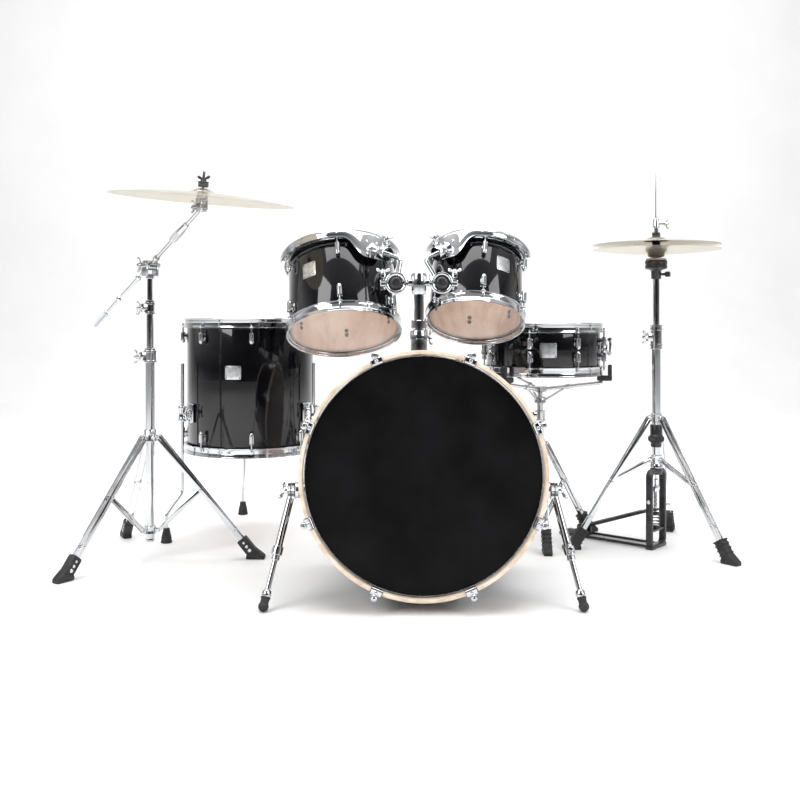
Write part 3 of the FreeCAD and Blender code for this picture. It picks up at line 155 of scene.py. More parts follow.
def rounded_box(centre, size, turn=np.eye(3), edge=0.001, steps=3):
    """A box whose corners are eighths of a sphere: point = edge d + (half - edge) sign(d)."""
    half = np.asarray(size, float) / 2
    edge = min(edge, half.min() * 0.95)
    quarter = np.linspace(0, np.pi / 2, steps)
    lon = np.concatenate([quarter + k * np.pi / 2 for k in range(4)])
    lon_x = np.repeat([1, -1, -1, 1], steps)
    lon_y = np.repeat([1, 1, -1, -1], steps)
    lat = np.concatenate([quarter - np.pi / 2, quarter])
    lat_z = np.repeat([-1, 1], steps)
    d = np.stack([np.cos(lat)[:, None] * np.cos(lon), np.cos(lat)[:, None] * np.sin(lon),
                  np.repeat(np.sin(lat)[:, None], len(lon), axis=1)], axis=-1)
    signs = np.stack(np.broadcast_arrays(lon_x[None], lon_y[None], lat_z[:, None]), axis=-1)
    grid = edge * d + (half - edge) * signs
    points = grid.reshape(-1, 3) @ np.asarray(turn, float).T + np.asarray(centre, float)
    poles = np.arange(len(lon))
    faces = quads(len(lat), len(lon), False, True)
    low_cap = np.stack([poles[:1], poles[steps:steps + 1], poles[2 * steps:2 * steps + 1],
                        poles[3 * steps:3 * steps + 1]], axis=-1)
    return points, np.concatenate([faces, low_cap, low_cap + (len(lat) - 1) * len(lon)])


# %% Tubes along a path
def rounded_path(corners, bend, per_corner=8):
    """Straight runs joined by arcs of one bend radius, as one array of points."""
    corners = np.asarray(corners, float)
    path = [corners[:1]]
    for before, corner, after in zip(corners, corners[1:], corners[2:]):
        back, ahead = unit(before - corner), unit(after - corner)
        half = np.arccos(np.clip(back @ ahead, -1, 1)) / 2
        hub = corner + unit(back + ahead) * bend / np.sin(half)
        first, last = corner + back * bend / np.tan(half), corner + ahead * bend / np.tan(half)
        t = np.linspace(0, 1, per_corner)[:, None]
        spread = np.pi - 2 * half
        arm, other = first - hub, last - hub
        path.append(hub + (np.sin((1 - t) * spread) * arm + np.sin(t * spread) * other)
                    / np.sin(spread))
    path.append(corners[-1:])
    return np.concatenate(path)


def carried(path, section, n, b):
    """A closed section carried along a path: point = path + first n + second b, ends closed."""
    rows = path[:, None] + section[..., :1] * n[:, None] + section[..., 1:] * b[:, None]
    sides = rows.shape[1]
    closed = np.concatenate([np.repeat(path[:1], sides, 0)[None], rows,
                             np.repeat(path[-1:], sides, 0)[None]])
    return closed.reshape(-1, 3), quads(len(closed), sides, False, True)


def tube(path, radius, sides=20):
    """A circle carried along a path: point = path + radius (cos a n + sin a b)."""
    path = np.asarray(path, float)
    along = unit(np.gradient(path, axis=0))
    guides = np.eye(3)
    guide = guides[np.argmin(np.abs(along @ guides).max(axis=0))]
    n = unit(np.cross(along, guide))
    b = np.cross(along, n)
    a = np.linspace(0, 2 * np.pi, sides, endpoint=False)
    radius = np.broadcast_to(radius, len(path))[:, None, None]
    return carried(path, radius * np.stack([np.cos(a), np.sin(a)], -1), n, b)


# %% [markdown]
# ## From arrays to a piece
# A piece is one Blender object at the origin. Its shapes are joined, coincident points at poles
# and seams are merged, normals face out, and edges sharper than an angle stay crisp.

# %% Make a piece
def piece(name, shapes, finish, body, replaces=(), sharp=35, bevel=0.0):
    """Join shapes in one object, give it a finish and let it ride on a CAD body."""
    starts = np.cumsum([0] + [len(points) for points, faces in shapes])
    points = np.concatenate([points for points, faces in shapes])
    faces = np.concatenate([faces + start for (_, faces), start in zip(shapes, starts)])
    mesh = bpy.data.meshes.new(name)
    mesh.from_pydata(points.tolist(), [], faces.tolist())
    work = bmesh.new()
    work.from_mesh(mesh)
    bmesh.ops.remove_doubles(work, verts=work.verts, dist=2e-6)
    bmesh.ops.dissolve_degenerate(work, edges=work.edges, dist=1e-6)
    bmesh.ops.recalc_face_normals(work, faces=work.faces)
    work.to_mesh(mesh)
    work.free()
    mesh.polygons.foreach_set("use_smooth", np.ones(len(mesh.polygons), bool))
    mesh.set_sharp_from_angle(angle=np.radians(sharp))
    mesh.materials.append(finish)
    made = bpy.data.objects.new(name, mesh)
    scene.collection.objects.link(made)
    if bevel:
        rounding = made.modifiers.new("rounding", "BEVEL")
        rounding.width = bevel
        rounding.segments = 2
        rounding.limit_method = "ANGLE"
    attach(made, body)
    if replaces:
        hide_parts(*([replaces] if isinstance(replaces, str) else replaces))
    return made


print("shape helpers ready")

# %% Floor and light
def stage_sweep():
    """The floor and backdrop in one sheet: height = a quarter circle, then a straight wall."""
    radius, back, half = 1.6, 4.0, 14.0
    turn = np.linspace(0, np.pi / 2, 24)
    depth = np.concatenate([[-16.0], back + radius * np.sin(turn), [back + radius]])
    height = np.concatenate([[0.0], radius - radius * np.cos(turn), [8.0]])
    side = np.array([-half, half])
    grid = np.stack([np.broadcast_to(side, (len(depth), 2)),
                     np.repeat(depth[:, None], 2, 1), np.repeat(height[:, None], 2, 1)], axis=-1)
    mesh = bpy.data.meshes.new("studio_sweep")
    mesh.from_pydata(grid.reshape(-1, 3).tolist(), [], quads(len(depth), 2).tolist())
    mesh.polygons.foreach_set("use_smooth", np.ones(len(mesh.polygons), bool))
    sweep = bpy.data.objects.new("studio_sweep", mesh)
    scene.collection.objects.link(sweep)
    return sweep


def soft_light(name, place, aim, size, power, tint=(1, 1, 1)):
    data = bpy.data.lights.new(name, "AREA")
    data.shape = "RECTANGLE"
    data.size, data.size_y = size
    data.energy = power
    data.color = tint
    lamp = bpy.data.objects.new(name, data)
    lamp.location = place
    lamp.rotation_euler = (Vector(aim) - Vector(place)).to_track_quat("-Z", "Y").to_euler()
    scene.collection.objects.link(lamp)
    return lamp


sweep = stage_sweep()
soft_light("key_left", (-3.2, -3.4, 3.0), (0, 0, 0.5), (2.2, 2.6), 110)
soft_light("key_right", (3.4, -3.0, 2.6), (0, 0, 0.5), (2.0, 2.6), 80)
soft_light("backdrop_wash", (0, 1.6, 4.6), (0, 5.6, 1.4), (7.0, 1.6), 165)
soft_light("overhead", (0, -0.4, 3.6), (0, 0, 0), (3.4, 2.6), 120)
scene.view_settings.view_transform = "Standard"

# %% World
world = bpy.data.worlds.new("studio")
scene.world = world
world.use_nodes = True
nodes, links = world.node_tree.nodes, world.node_tree.links
nodes.clear()
direction = nodes.new("ShaderNodeTexCoord")
split = nodes.new("ShaderNodeSeparateXYZ")
links.new(direction.outputs["Generated"], split.inputs[0])
bands = nodes.new("ShaderNodeValToRGB")
stops = [(0.0, 0.3), (0.47, 0.7), (0.51, 0.15), (0.60, 0.9), (0.72, 0.25), (0.86, 1.0), (1.0, 0.6)]
spread = nodes.new("ShaderNodeMath")
spread.operation = "MULTIPLY_ADD"
spread.inputs[1].default_value = 0.5
spread.inputs[2].default_value = 0.5
links.new(split.outputs["Z"], spread.inputs[0])
links.new(spread.outputs[0], bands.inputs[0])
while len(bands.color_ramp.elements) < len(stops):
    bands.color_ramp.elements.new(0.5)
for stop, (place, level) in zip(bands.color_ramp.elements, stops):
    stop.position = place
    stop.color = (level, level, level * 1.01, 1)
ahead = nodes.new("ShaderNodeMapRange")
for socket, value in (("From Min", -1.0), ("From Max", 0.15), ("To Min", 0.05), ("To Max", 0.95)):
    ahead.inputs[socket].default_value = value
links.new(split.outputs["Y"], ahead.inputs["Value"])
sky = nodes.new("ShaderNodeBackground")
links.new(ahead.outputs[0], sky.inputs["Strength"])
links.new(bands.outputs[0], sky.inputs["Color"])
plain_sky = nodes.new("ShaderNodeBackground")
plain_sky.inputs["Color"].default_value = (0.62, 0.62, 0.62, 1)
seen_straight = nodes.new("ShaderNodeLightPath")
chosen = nodes.new("ShaderNodeMixShader")
links.new(seen_straight.outputs["Is Camera Ray"], chosen.inputs["Fac"])
links.new(sky.outputs[0], chosen.inputs[1])
links.new(plain_sky.outputs[0], chosen.inputs[2])
output = nodes.new("ShaderNodeOutputWorld")
links.new(chosen.outputs[0], output.inputs[0])

# %% [markdown]
# ## Finishes
# Each finish is a small node recipe on the Principled shader. Object coordinates carry the
# patterns, so they stay with the metal or wood when a joint moves. Constants that are the same
# all over a surface are set straight on the shader's sockets.

# %% A finish and its pattern helpers
def finish(name, colour, roughness, metallic=0.0, **sockets):
    """A Principled material with constant sockets; patterns are linked in afterwards."""
    made = bpy.data.materials.new(name)
    made.use_nodes = True
    shader = made.node_tree.nodes["Principled BSDF"]
    shader.inputs["Base Color"].default_value = (*colour, 1)
    shader.inputs["Roughness"].default_value = roughness
    shader.inputs["Metallic"].default_value = metallic
    for socket, value in sockets.items():
        shader.inputs[socket.replace("_", " ")].default_value = value
    made.diffuse_color = (*colour, 1)
    return made


def add(material, kind, **settings):
    """A node of a kind, with its settings or input values by name."""
    node = material.node_tree.nodes.new("ShaderNode" + kind)
    for name, value in settings.items():
        if hasattr(node, name):
            setattr(node, name, value)
        else:
            node.inputs[name.replace("_", " ")].default_value = value
    return node


def link(material, source, target, output=0, socket=0):
    material.node_tree.links.new(source.outputs[output], target.inputs[socket])


def shader_of(material):
    return material.node_tree.nodes["Principled BSDF"]


def noise(material, scale, detail=3.0, stretch=(1, 1, 1), turn=(0, 0, 0)):
    """Noise on Object coordinates, stretched and turned by a Mapping node."""
    place = add(material, "TexCoord")
    mapping = add(material, "Mapping")
    mapping.inputs["Scale"].default_value = stretch
    mapping.inputs["Rotation"].default_value = turn
    grain = add(material, "TexNoise", Scale=scale, Detail=detail)
    link(material, place, mapping, "Object", "Vector")
    link(material, mapping, grain, 0, "Vector")
    return grain


def tone(material, source, colours, low=0.35, high=0.65):
    """Noise to base colour through a ramp between colours."""
    ramp = add(material, "ValToRGB")
    places = np.linspace(low, high, len(colours))
    while len(ramp.color_ramp.elements) < len(colours):
        ramp.color_ramp.elements.new(0.5)
    for stop, place, colour in zip(ramp.color_ramp.elements, places, colours):
        stop.position = place
        stop.color = (*colour, 1)
    link(material, source, ramp, "Fac", "Fac")
    link(material, ramp, shader_of(material), 0, "Base Color")


def gloss(material, source, low, high):
    """Noise to roughness between two levels."""
    spread_gloss = add(material, "MapRange")
    spread_gloss.inputs["To Min"].default_value = low
    spread_gloss.inputs["To Max"].default_value = high
    link(material, source, spread_gloss, "Fac", "Value")
    link(material, spread_gloss, shader_of(material), 0, "Roughness")


def relief(material, source, strength, depth=0.0002):
    """Noise to surface relief of a depth in metres."""
    bump = add(material, "Bump", Strength=strength, Distance=depth)
    link(material, source, bump, "Fac", "Height")
    link(material, bump, shader_of(material), "Normal", "Normal")


# %% Metal
chrome = finish("chrome", (0.70, 0.71, 0.73), 0.06, 1.0)
smudge = noise(chrome, 38, 4)
gloss(chrome, smudge, 0.03, 0.13)
relief(chrome, noise(chrome, 900, 2), 0.05, 0.00005)
tone(chrome, noise(chrome, 7), [(0.64, 0.65, 0.67), (0.74, 0.75, 0.77)])

bright_steel = finish("bright_steel", (0.66, 0.67, 0.69), 0.25, 1.0)
gloss(bright_steel, noise(bright_steel, 120, 4, (1, 1, 9)), 0.18, 0.36)
tone(bright_steel, noise(bright_steel, 30), [(0.60, 0.61, 0.63), (0.74, 0.75, 0.77)])

black_steel = finish("black_steel", (0.018, 0.018, 0.02), 0.38, 0.0, Coat_Weight=0.25)
relief(black_steel, noise(black_steel, 700, 3), 0.25, 0.0001)
tone(black_steel, noise(black_steel, 60), [(0.012, 0.012, 0.014), (0.032, 0.032, 0.036)])

# %% Lacquer, film and wood
lacquer = finish("black_lacquer", (0.006, 0.006, 0.008), 0.12, 0.0, Coat_Weight=1.0,
                 Coat_Roughness=0.02, Specular_IOR_Level=0.12)
relief(lacquer, noise(lacquer, 46, 2), 0.06, 0.0003)
tone(lacquer, noise(lacquer, 240, 2), [(0.002, 0.002, 0.003), (0.006, 0.006, 0.008)])

black_film = finish("black_film", (0.006, 0.006, 0.006), 0.42, 0.0)
relief(black_film, noise(black_film, 520, 3), 0.12, 0.00008)
tone(black_film, noise(black_film, 9), [(0.003, 0.003, 0.003), (0.007, 0.007, 0.008)])
shader_of(black_film).inputs["Specular IOR Level"].default_value = 0.08

clear_film = finish("clear_film", (0.93, 0.94, 0.95), 0.07, 0.0, Alpha=0.16, Coat_Weight=0.3)
gloss(clear_film, noise(clear_film, 16), 0.04, 0.14)
tone(clear_film, noise(clear_film, 12), [(0.88, 0.89, 0.90), (0.96, 0.97, 0.98)])

coated_film = finish("coated_film", (0.90, 0.90, 0.88), 0.62)
relief(coated_film, noise(coated_film, 1400, 4), 0.5, 0.0001)
tone(coated_film, noise(coated_film, 14), [(0.84, 0.84, 0.82), (0.93, 0.93, 0.91)])

pale_maple = finish("pale_maple", (0.86, 0.76, 0.64), 0.34, 0.0, Coat_Weight=0.4, Coat_Roughness=0.12)
tone(pale_maple, noise(pale_maple, 26, 5, (1, 7, 1)),
     [(0.66, 0.50, 0.36), (0.80, 0.67, 0.53), (0.88, 0.79, 0.68)])
relief(pale_maple, noise(pale_maple, 260, 3, (1, 6, 1)), 0.08)

inner_maple = finish("inner_maple", (0.74, 0.53, 0.40), 0.55)
tone(inner_maple, noise(inner_maple, 20, 6, (1, 1, 0.18)),
     [(0.60, 0.40, 0.28), (0.76, 0.55, 0.42), (0.84, 0.66, 0.53)])
relief(inner_maple, noise(inner_maple, 200, 3, (1, 1, 0.1)), 0.12)

# %% Rubber, felt and cast plastic
rubber = finish("rubber", (0.018, 0.018, 0.018), 0.62)
relief(rubber, noise(rubber, 800, 4), 0.3, 0.0001)
tone(rubber, noise(rubber, 50), [(0.012, 0.012, 0.012), (0.034, 0.033, 0.032)])

dark_felt = finish("dark_felt", (0.05, 0.05, 0.055), 0.95, 0.0, Sheen_Weight=0.6)
relief(dark_felt, noise(dark_felt, 1500, 6), 0.9, 0.0004)
tone(dark_felt, noise(dark_felt, 260, 5), [(0.03, 0.03, 0.033), (0.11, 0.11, 0.12)])

grey_felt = finish("grey_felt", (0.38, 0.36, 0.38), 0.95, 0.0, Sheen_Weight=0.5)
relief(grey_felt, noise(grey_felt, 1400, 6), 0.9, 0.0004)
tone(grey_felt, noise(grey_felt, 240, 5), [(0.28, 0.26, 0.28), (0.50, 0.48, 0.50)])

floor_finish = finish("studio_white", (0.93, 0.93, 0.93), 0.55)
tone(floor_finish, noise(floor_finish, 2), [(0.92, 0.92, 0.92), (0.95, 0.95, 0.95)])
sweep.data.materials.append(floor_finish)

CAD_FINISH = {
    "black_lacquer": lacquer, "maple_hoop": pale_maple, "black_film": black_film,
    "clear_film": clear_film, "coated_film": coated_film, "chrome": chrome,
    "steel": bright_steel, "black_steel": black_steel, "rubber": rubber, "bronze": bright_steel,
}
for entry in frame["record"]["subparts"]:
    node = frame["nodes"][entry["node"]]
    node.data.materials.clear()
    node.data.materials.append(CAD_FINISH[entry["material_slot"]])
print("finishes:", len(bpy.data.materials))

# %% [markdown]
# ## Where each drum stands
# A drum is described in its own upright frame: its shell from height 0 to its depth. The middle
# comes from the CAD shell's box, and the lean is the drum's axis. A matrix then puts every
# lug, hoop and rod of that drum in place, so the same formulas serve all five drums.

# %% Drum frames
INCH = 0.0254
BASS_TILT = np.radians(3.3)
DRUMS = {
    "bass_drum": dict(radius=11 * INCH, depth=0.457, lugs=8, phase=22.5, body="base",
                      lean=(0, -np.cos(BASS_TILT), np.sin(BASS_TILT))),
    "large_tom": dict(radius=6 * INCH, depth=0.218, lugs=6, phase=-90, body="large_tom",
                      lean=(-0.07, 0.42, 0.905)),
    "small_tom": dict(radius=5 * INCH, depth=0.192, lugs=6, phase=-86, body="small_tom",
                      lean=(0.07, 0.45, 0.89)),
    "floor_tom": dict(radius=8 * INCH, depth=0.398, lugs=8, phase=-81, body="floor_tom",
                      lean=(0, 0, 1)),
    "snare": dict(radius=7 * INCH, depth=0.133, lugs=8, phase=-110, body="snare", lean=(0, 0, 1)),
}
ROD_OFFSET = 0.0126
CLAW_OFFSET = 0.026


def drum_place(name):
    drum = DRUMS[name]
    lean = Vector(drum["lean"]).normalized()
    turn = Vector((0, 0, 1)).rotation_difference(lean).to_matrix()
    turn = turn @ Matrix.Rotation(np.radians(drum["phase"]), 3, "Z")
    low, high = (np.array(corner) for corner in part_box(name + "_shell"))
    base = (low + high) / 2 - np.array(lean) * drum["depth"] / 2
    place = np.eye(4)
    place[:3, :3], place[:3, 3] = np.array(turn), base
    return place


def moved(shape, place):
    """A shape taken through a 4 x 4 matrix."""
    points, faces = shape
    return points @ place[:3, :3].T + place[:3, 3], faces


def around(shape, count, start=0.0):
    """Copies of a shape turned evenly about the upright axis."""
    points, faces = shape
    a = np.radians(start) + np.arange(count) * 2 * np.pi / count
    turn = np.stack([[np.cos(a), -np.sin(a), 0 * a], [np.sin(a), np.cos(a), 0 * a],
                     [0 * a, 0 * a, 1 + 0 * a]]).transpose(2, 0, 1)
    copies = np.einsum("kij,nj->kni", turn, points).reshape(-1, 3)
    step = np.arange(count)[:, None, None] * len(points)
    return copies, (faces[None] + step).reshape(-1, faces.shape[1])


def upended(shape, depth):
    """The same shape at the drum's other end: height becomes depth - height."""
    points, faces = shape
    return points * [1, 1, -1] + [0, 0, depth], faces[:, ::-1]


for name, drum in DRUMS.items():
    drum["place"] = drum_place(name)
    print(name, "base at", np.round(drum["place"][:3, 3], 3))

# %% [markdown]
# ## Shells
# A maple shell is thin plies bent round and glued, bevelled to a bearing edge at both ends and
# lacquered outside only. Two turned rings give the two finishes: a gloss skin outside and bare
# maple inside, which shows through the clear heads with the ends of the lug screws.

# %% Turn the shells
WALL = 0.006
SKIN = 0.0012


def shell_skin(radius, depth):
    """A thin closed ring just inside the outer wall, with eased edges."""
    return turned([(radius - SKIN, 0.0015), (radius - 0.0004, 0.002), (radius, 0.0032),
                   (radius, depth / 2), (radius, depth - 0.0032), (radius - 0.0004, depth - 0.002),
                   (radius - SKIN, depth - 0.0015)], ORIGIN, UP, 128, closed=True)


def shell_ply(radius, depth):
    """The bare maple inside the skin, with a bevelled bearing edge at each end."""
    inner, edge = radius - WALL, radius - WALL * 0.35
    return turned([(radius - SKIN, 0.0017), (edge, 0), (inner, 0.003), (inner, depth / 2),
                   (inner, depth - 0.003), (edge, depth), (radius - SKIN, depth - 0.0017)],
                  ORIGIN, UP, 128, closed=True)


def lug_screws(radius, depth, count, drop):
    """Screw heads with washers inside the shell, two under each lug, at both ends."""
    shapes = []
    for height in (drop, drop + 0.014):
        for low in (height, depth - height):
            start = (radius - WALL, 0, low)
            washer = plug(start, (radius - WALL - 0.0012, 0, low), 0.0062, 16)
            head = plug(start, (radius - WALL - 0.0042, 0, low), 0.0038, 12)
            shapes += [around(washer, count), around(head, count)]
    return shapes


def drum_piece(name, word, shapes, finish, replaces=(), **more):
    """A piece made in a drum's own frame, put in that drum's place and on its body."""
    drum = DRUMS[name]
    return piece(name + word, [moved(shape, drum["place"]) for shape in shapes], finish,
                 drum["body"], replaces, **more)


for name, drum in DRUMS.items():
    radius, depth = drum["radius"], drum["depth"]
    if name != "bass_drum":
        drum_piece(name, "_skin", [shell_skin(radius, depth)], lacquer, name + "_shell")
        drum_piece(name, "_ply", [shell_ply(radius, depth)], inner_maple)
    drop = 0.050 if name != "bass_drum" else 0.070
    drum_piece(name, "_screws", lug_screws(radius, depth, drum["lugs"], drop), black_steel)
print("shells turned")

# %% [markdown]
# ## Heads
# A drum head is a plastic film crimped in a thin metal ring. The film goes flat over the bearing
# edge and turns down its collar outside. It is one turned surface, with a hair of thickness.

# %% Turn the heads
FILM_LIFT = 0.0003


def head_film(radius, depth):
    """Film: flat disc, rounded shoulder, collar, closed underneath 0.6 mm lower."""
    bend = np.linspace(0, np.pi / 2, 6)
    shoulder = np.stack([radius - 0.0004 + 0.0018 * np.sin(bend),
                         depth + FILM_LIFT - 0.0008 + 0.0018 * np.cos(bend)], axis=-1)
    outer = [(0, depth + FILM_LIFT + 0.001), (radius * 0.5, depth + FILM_LIFT + 0.001),
             *shoulder.tolist(), (radius + 0.0015, depth - 0.006)]
    inner = [(radius + 0.0010, depth - 0.006), (radius + 0.0009, depth + FILM_LIFT),
             (radius * 0.5, depth + FILM_LIFT + 0.0003), (0, depth + FILM_LIFT + 0.0003)]
    return turned(outer + inner, ORIGIN, UP, 128)


def flesh_ring(radius, depth):
    """The crimped metal ring at the collar's foot."""
    a = np.linspace(0, 2 * np.pi, 16, endpoint=False)
    profile = np.stack([radius + 0.0030 + 0.0018 * np.cos(a), depth - 0.005 + 0.0038 * np.sin(a)], -1)
    return turned(profile, ORIGIN, UP, 128, closed=True)


HEADS = {
    "bass_drum": (("front", black_film, "bass_drum_front_head"),
                  ("batter", clear_film, "bass_drum_batter_head")),
    "large_tom": (("batter", clear_film, "large_tom_heads"), ("resonant", clear_film, ())),
    "small_tom": (("batter", clear_film, "small_tom_heads"), ("resonant", clear_film, ())),
    "floor_tom": (("batter", clear_film, "floor_tom_heads"), ("resonant", clear_film, ())),
    "snare": (("batter", coated_film, "snare_heads"), ("resonant", clear_film, ())),
}
for name, ends in HEADS.items():
    radius, depth = DRUMS[name]["radius"], DRUMS[name]["depth"]
    rings = []
    for end, (word, film, node) in enumerate(ends):
        shapes = [head_film(radius, depth), flesh_ring(radius, depth)]
        if end:
            shapes = [upended(shape, depth) for shape in shapes]
        drum_piece(name, f"_{word}_film", shapes[:1], film, node)
        rings.append(shapes[1])
    drum_piece(name, "_flesh_rings", rings, bright_steel)
print("heads:", 2 * len(HEADS))

# %% [markdown]
# ## Pressed steel hoops
# A triple-flanged hoop is rolled from strip: a foot that presses the head's ring, an upright
# wall, a lip rolled outwards at the top and a flange with an ear for each tension rod. The
# section is drawn as a centre line with rounded corners and given 2.2 mm of thickness.

# %% Roll the hoops
HOOP_DROP, STEEL = 0.015, 0.0022


def strip_section(line, thickness):
    """A closed section about a centre line: each point moved half the thickness both ways."""
    line = np.asarray(line, float)
    run = unit(np.gradient(line, axis=0))
    side = np.stack([-run[:, 1], run[:, 0]], axis=-1) * thickness / 2
    return np.concatenate([line + side, (line - side)[::-1]])


def hoop(radius, depth):
    """The hoop's section, turned: foot, wall, rolled lip; the flange joins the wall below."""
    r, z = radius, depth
    wall = [(r + 0.0037, z + 0.0006), (r + 0.0050, z + 0.0008), (r + 0.0062, z + 0.0022),
            (r + 0.0066, z + 0.0045), (r + 0.0066, z + 0.0100), (r + 0.0069, z + 0.0120),
            (r + 0.0080, z + 0.0131), (r + 0.0095, z + 0.0130)]
    skirt = [(r + 0.0060, z + 0.0020), (r + 0.0064, z - 0.0060), (r + 0.0066, z - 0.0110),
             (r + 0.0076, z - 0.0134), (r + 0.0092, z - 0.0139), (r + 0.0106, z - 0.0139)]
    return [turned(strip_section(line, STEEL), ORIGIN, UP, 128, closed=True)
            for line in (wall, skirt)]


def hoop_ear(radius, depth):
    """An ear of the flange, with a rolled edge, round one tension rod."""
    centre = (radius + ROD_OFFSET, 0, depth - HOOP_DROP)
    a = np.linspace(0, np.pi, 9)
    profile = np.concatenate([[(0.0029, 0)], np.stack([0.0056 + 0.0011 * np.sin(a),
                                                       0.00115 - 0.00115 * np.cos(a)], -1),
                              [(0.0029, 0.0023)]])
    return turned(profile, centre, UP, 28, closed=True)


def tension_rod(radius, depth):
    """Stem, washer, collar and a square key head with rounded edges."""
    x, ear_top = radius + ROD_OFFSET, depth - HOOP_DROP + 0.0025
    stem = plug((x, 0, depth - 0.042), (x, 0, ear_top + 0.001), 0.0024, 14)
    washer = plug((x, 0, ear_top), (x, 0, ear_top + 0.0012), 0.0043, 20)
    collar = plug((x, 0, ear_top + 0.0012), (x, 0, ear_top + 0.0030), 0.0036, 18)
    key = rounded_box((x, 0, ear_top + 0.0070), (0.0050, 0.0050, 0.0092), edge=0.0007)
    return [stem, washer, collar, key]


def bullet_lug(radius, depth, offset=ROD_OFFSET, size=0.0072, long=0.024, drop=0.030):
    """A lug: a bullet-shaped casing, the swivel nut in its mouth, on a rounded foot."""
    x, low = radius + offset, depth - drop - long
    t = np.linspace(0, 1, 12)
    nose = np.stack([size * np.sqrt(1 - (1 - t) ** 2.2), low - size * 1.5 + t * size * 1.5], -1)
    mouth = [(size, low + long * 0.86), (size * 1.12, low + long * 0.88),
             (size * 1.12, low + long * 0.97), (size, low + long), (size * 0.62, low + long),
             (size * 0.58, low + long - 0.002), (0, low + long - 0.002)]
    casing = turned([(r, z) for r, z in nose.tolist() + mouth], (x, 0, 0), UP, 28)
    nut = turned([(0.0030, low + long - 0.002), (0.0040, low + long - 0.002),
                  (0.0040, low + long + 0.0012), (0.0030, low + long + 0.0012)], (x, 0, 0), UP, 20,
                 closed=True)
    foot = rounded_box((radius + offset / 2 + 0.0002, 0, low + long * 0.45),
                       (offset, size * 1.45, long * 0.78), edge=0.0028, steps=4)
    plate = rounded_box((radius + 0.0012, 0, low + long * 0.45),
                        (0.0018, size * 1.9, long * 1.0), edge=0.0008)
    return [casing, nut, foot, plate]


def both_ends(shapes, depth):
    return shapes + [upended(shape, depth) for shape in shapes]


for name in ("large_tom", "small_tom", "floor_tom", "snare"):
    drum = DRUMS[name]
    radius, depth, count = drum["radius"], drum["depth"], drum["lugs"]
    hoops = hoop(radius, depth) + [around(hoop_ear(radius, depth), count)]
    lugs = [around(shape, count) for shape in bullet_lug(radius, depth)]
    rods = [around(shape, count) for shape in tension_rod(radius, depth)]
    drum_piece(name, "_rims", both_ends(hoops, depth), chrome, name + "_hoops", sharp=40)
    drum_piece(name, "_bullet_lugs", both_ends(lugs, depth), chrome, name + "_lugs")
    drum_piece(name, "_tension_rods", both_ends(rods, depth), chrome)
print("hoops, lugs and rods made")

# %% [markdown]
# ## Small hardware
# The same few shapes turn up all over a kit: a bent strip, a flat bar with round ends, a rivet,
# a wing bolt and a moulded block. Each one is a formula with its own directions, so it can be
# set down at any angle.

# %% Strips, bars, rivets and wings
def mm(x, y, z):
    return np.array([x + 41.0, y - 582.0, z]) / 1000


def drawn_out(full, slim, width, edge):
    """An (x, z) outline drawn out along y, with the slimmer outline at both faces."""
    y = np.array([-width / 2, -width / 2 + edge, width / 2 - edge, width / 2])
    rows = np.stack([slim, full, full, slim])
    points = np.stack([rows[..., 0], np.broadcast_to(y[:, None], rows.shape[:2]), rows[..., 1]], -1)
    n = len(full) // 2
    i = np.arange(n - 1)
    cap = np.stack([i, i + 1, 2 * n - 2 - i, 2 * n - 1 - i], -1)
    return points.reshape(-1, 3), np.concatenate([quads(4, 2 * n, False, True), cap, cap + 6 * n])


def strip(line, width, thickness, edge=0.0007):
    """A bent strip: its section about a centre line, drawn out along y, with eased edges."""
    return drawn_out(strip_section(line, thickness), strip_section(line, thickness - 2 * edge), width,
                     edge)


def moulded(upper, lower, width, edge=0.002):
    """A moulding in the x-z plane between an upper and a lower line, drawn out along y."""
    outline = np.concatenate([np.asarray(upper, float), np.asarray(lower, float)[::-1]])
    middle = outline.mean(axis=0)
    slim = middle + (outline - middle) * (1 - edge / np.abs(outline - middle).max() * 1.6)
    return drawn_out(outline, slim, width, edge)


def bent_line(corners, bend):
    """A flat path of (x, z) corners with rounded bends."""
    flat = np.asarray(corners, float)
    return rounded_path(np.stack([flat[:, 0], 0 * flat[:, 0], flat[:, 1]], -1), bend, 6)[:, [0, 2]]


def turn_to(x_way, z_way):
    """The turn whose x runs one way and whose z leans the other, as matrix columns."""
    x = unit(x_way)
    y = unit(np.cross(z_way, x))
    return np.stack([x, y, np.cross(x, y)], axis=1)


def set_down(shape, spot, turn=np.eye(3)):
    """A shape made at the origin, turned and carried to a spot."""
    points, faces = shape
    return points @ np.asarray(turn).T + np.asarray(spot, float), faces


def flat_bar(start, end, width, thickness, side, edge=0.0012):
    """A flat bar between two points with half-round ends; side is the way of its thickness."""
    start, end, side = (np.asarray(value, float) for value in (start, end, unit(side)))
    turn = np.stack([unit(end - start), side, np.cross(unit(end - start), side)], axis=1)
    body = rounded_box((start + end) / 2, (np.linalg.norm(end - start), thickness, width), turn, edge)
    ends = [plug(point - side * thickness / 2, point + side * thickness / 2, width / 2, 20, edge)
            for point in (start, end)]
    return [body, *ends]


def rivet(spot, side, half, radius):
    """A rivet through a joint with a shallow dome at each end."""
    t = np.linspace(0, np.pi / 2, 5)
    dome = np.stack([radius * 1.45 * np.sin(t), half + radius * 0.55 * np.cos(t)], -1)
    profile = np.concatenate([dome, [(radius, half), (radius, -half)], (dome * [1, -1])[::-1]])
    return turned(profile, spot, side, 20)


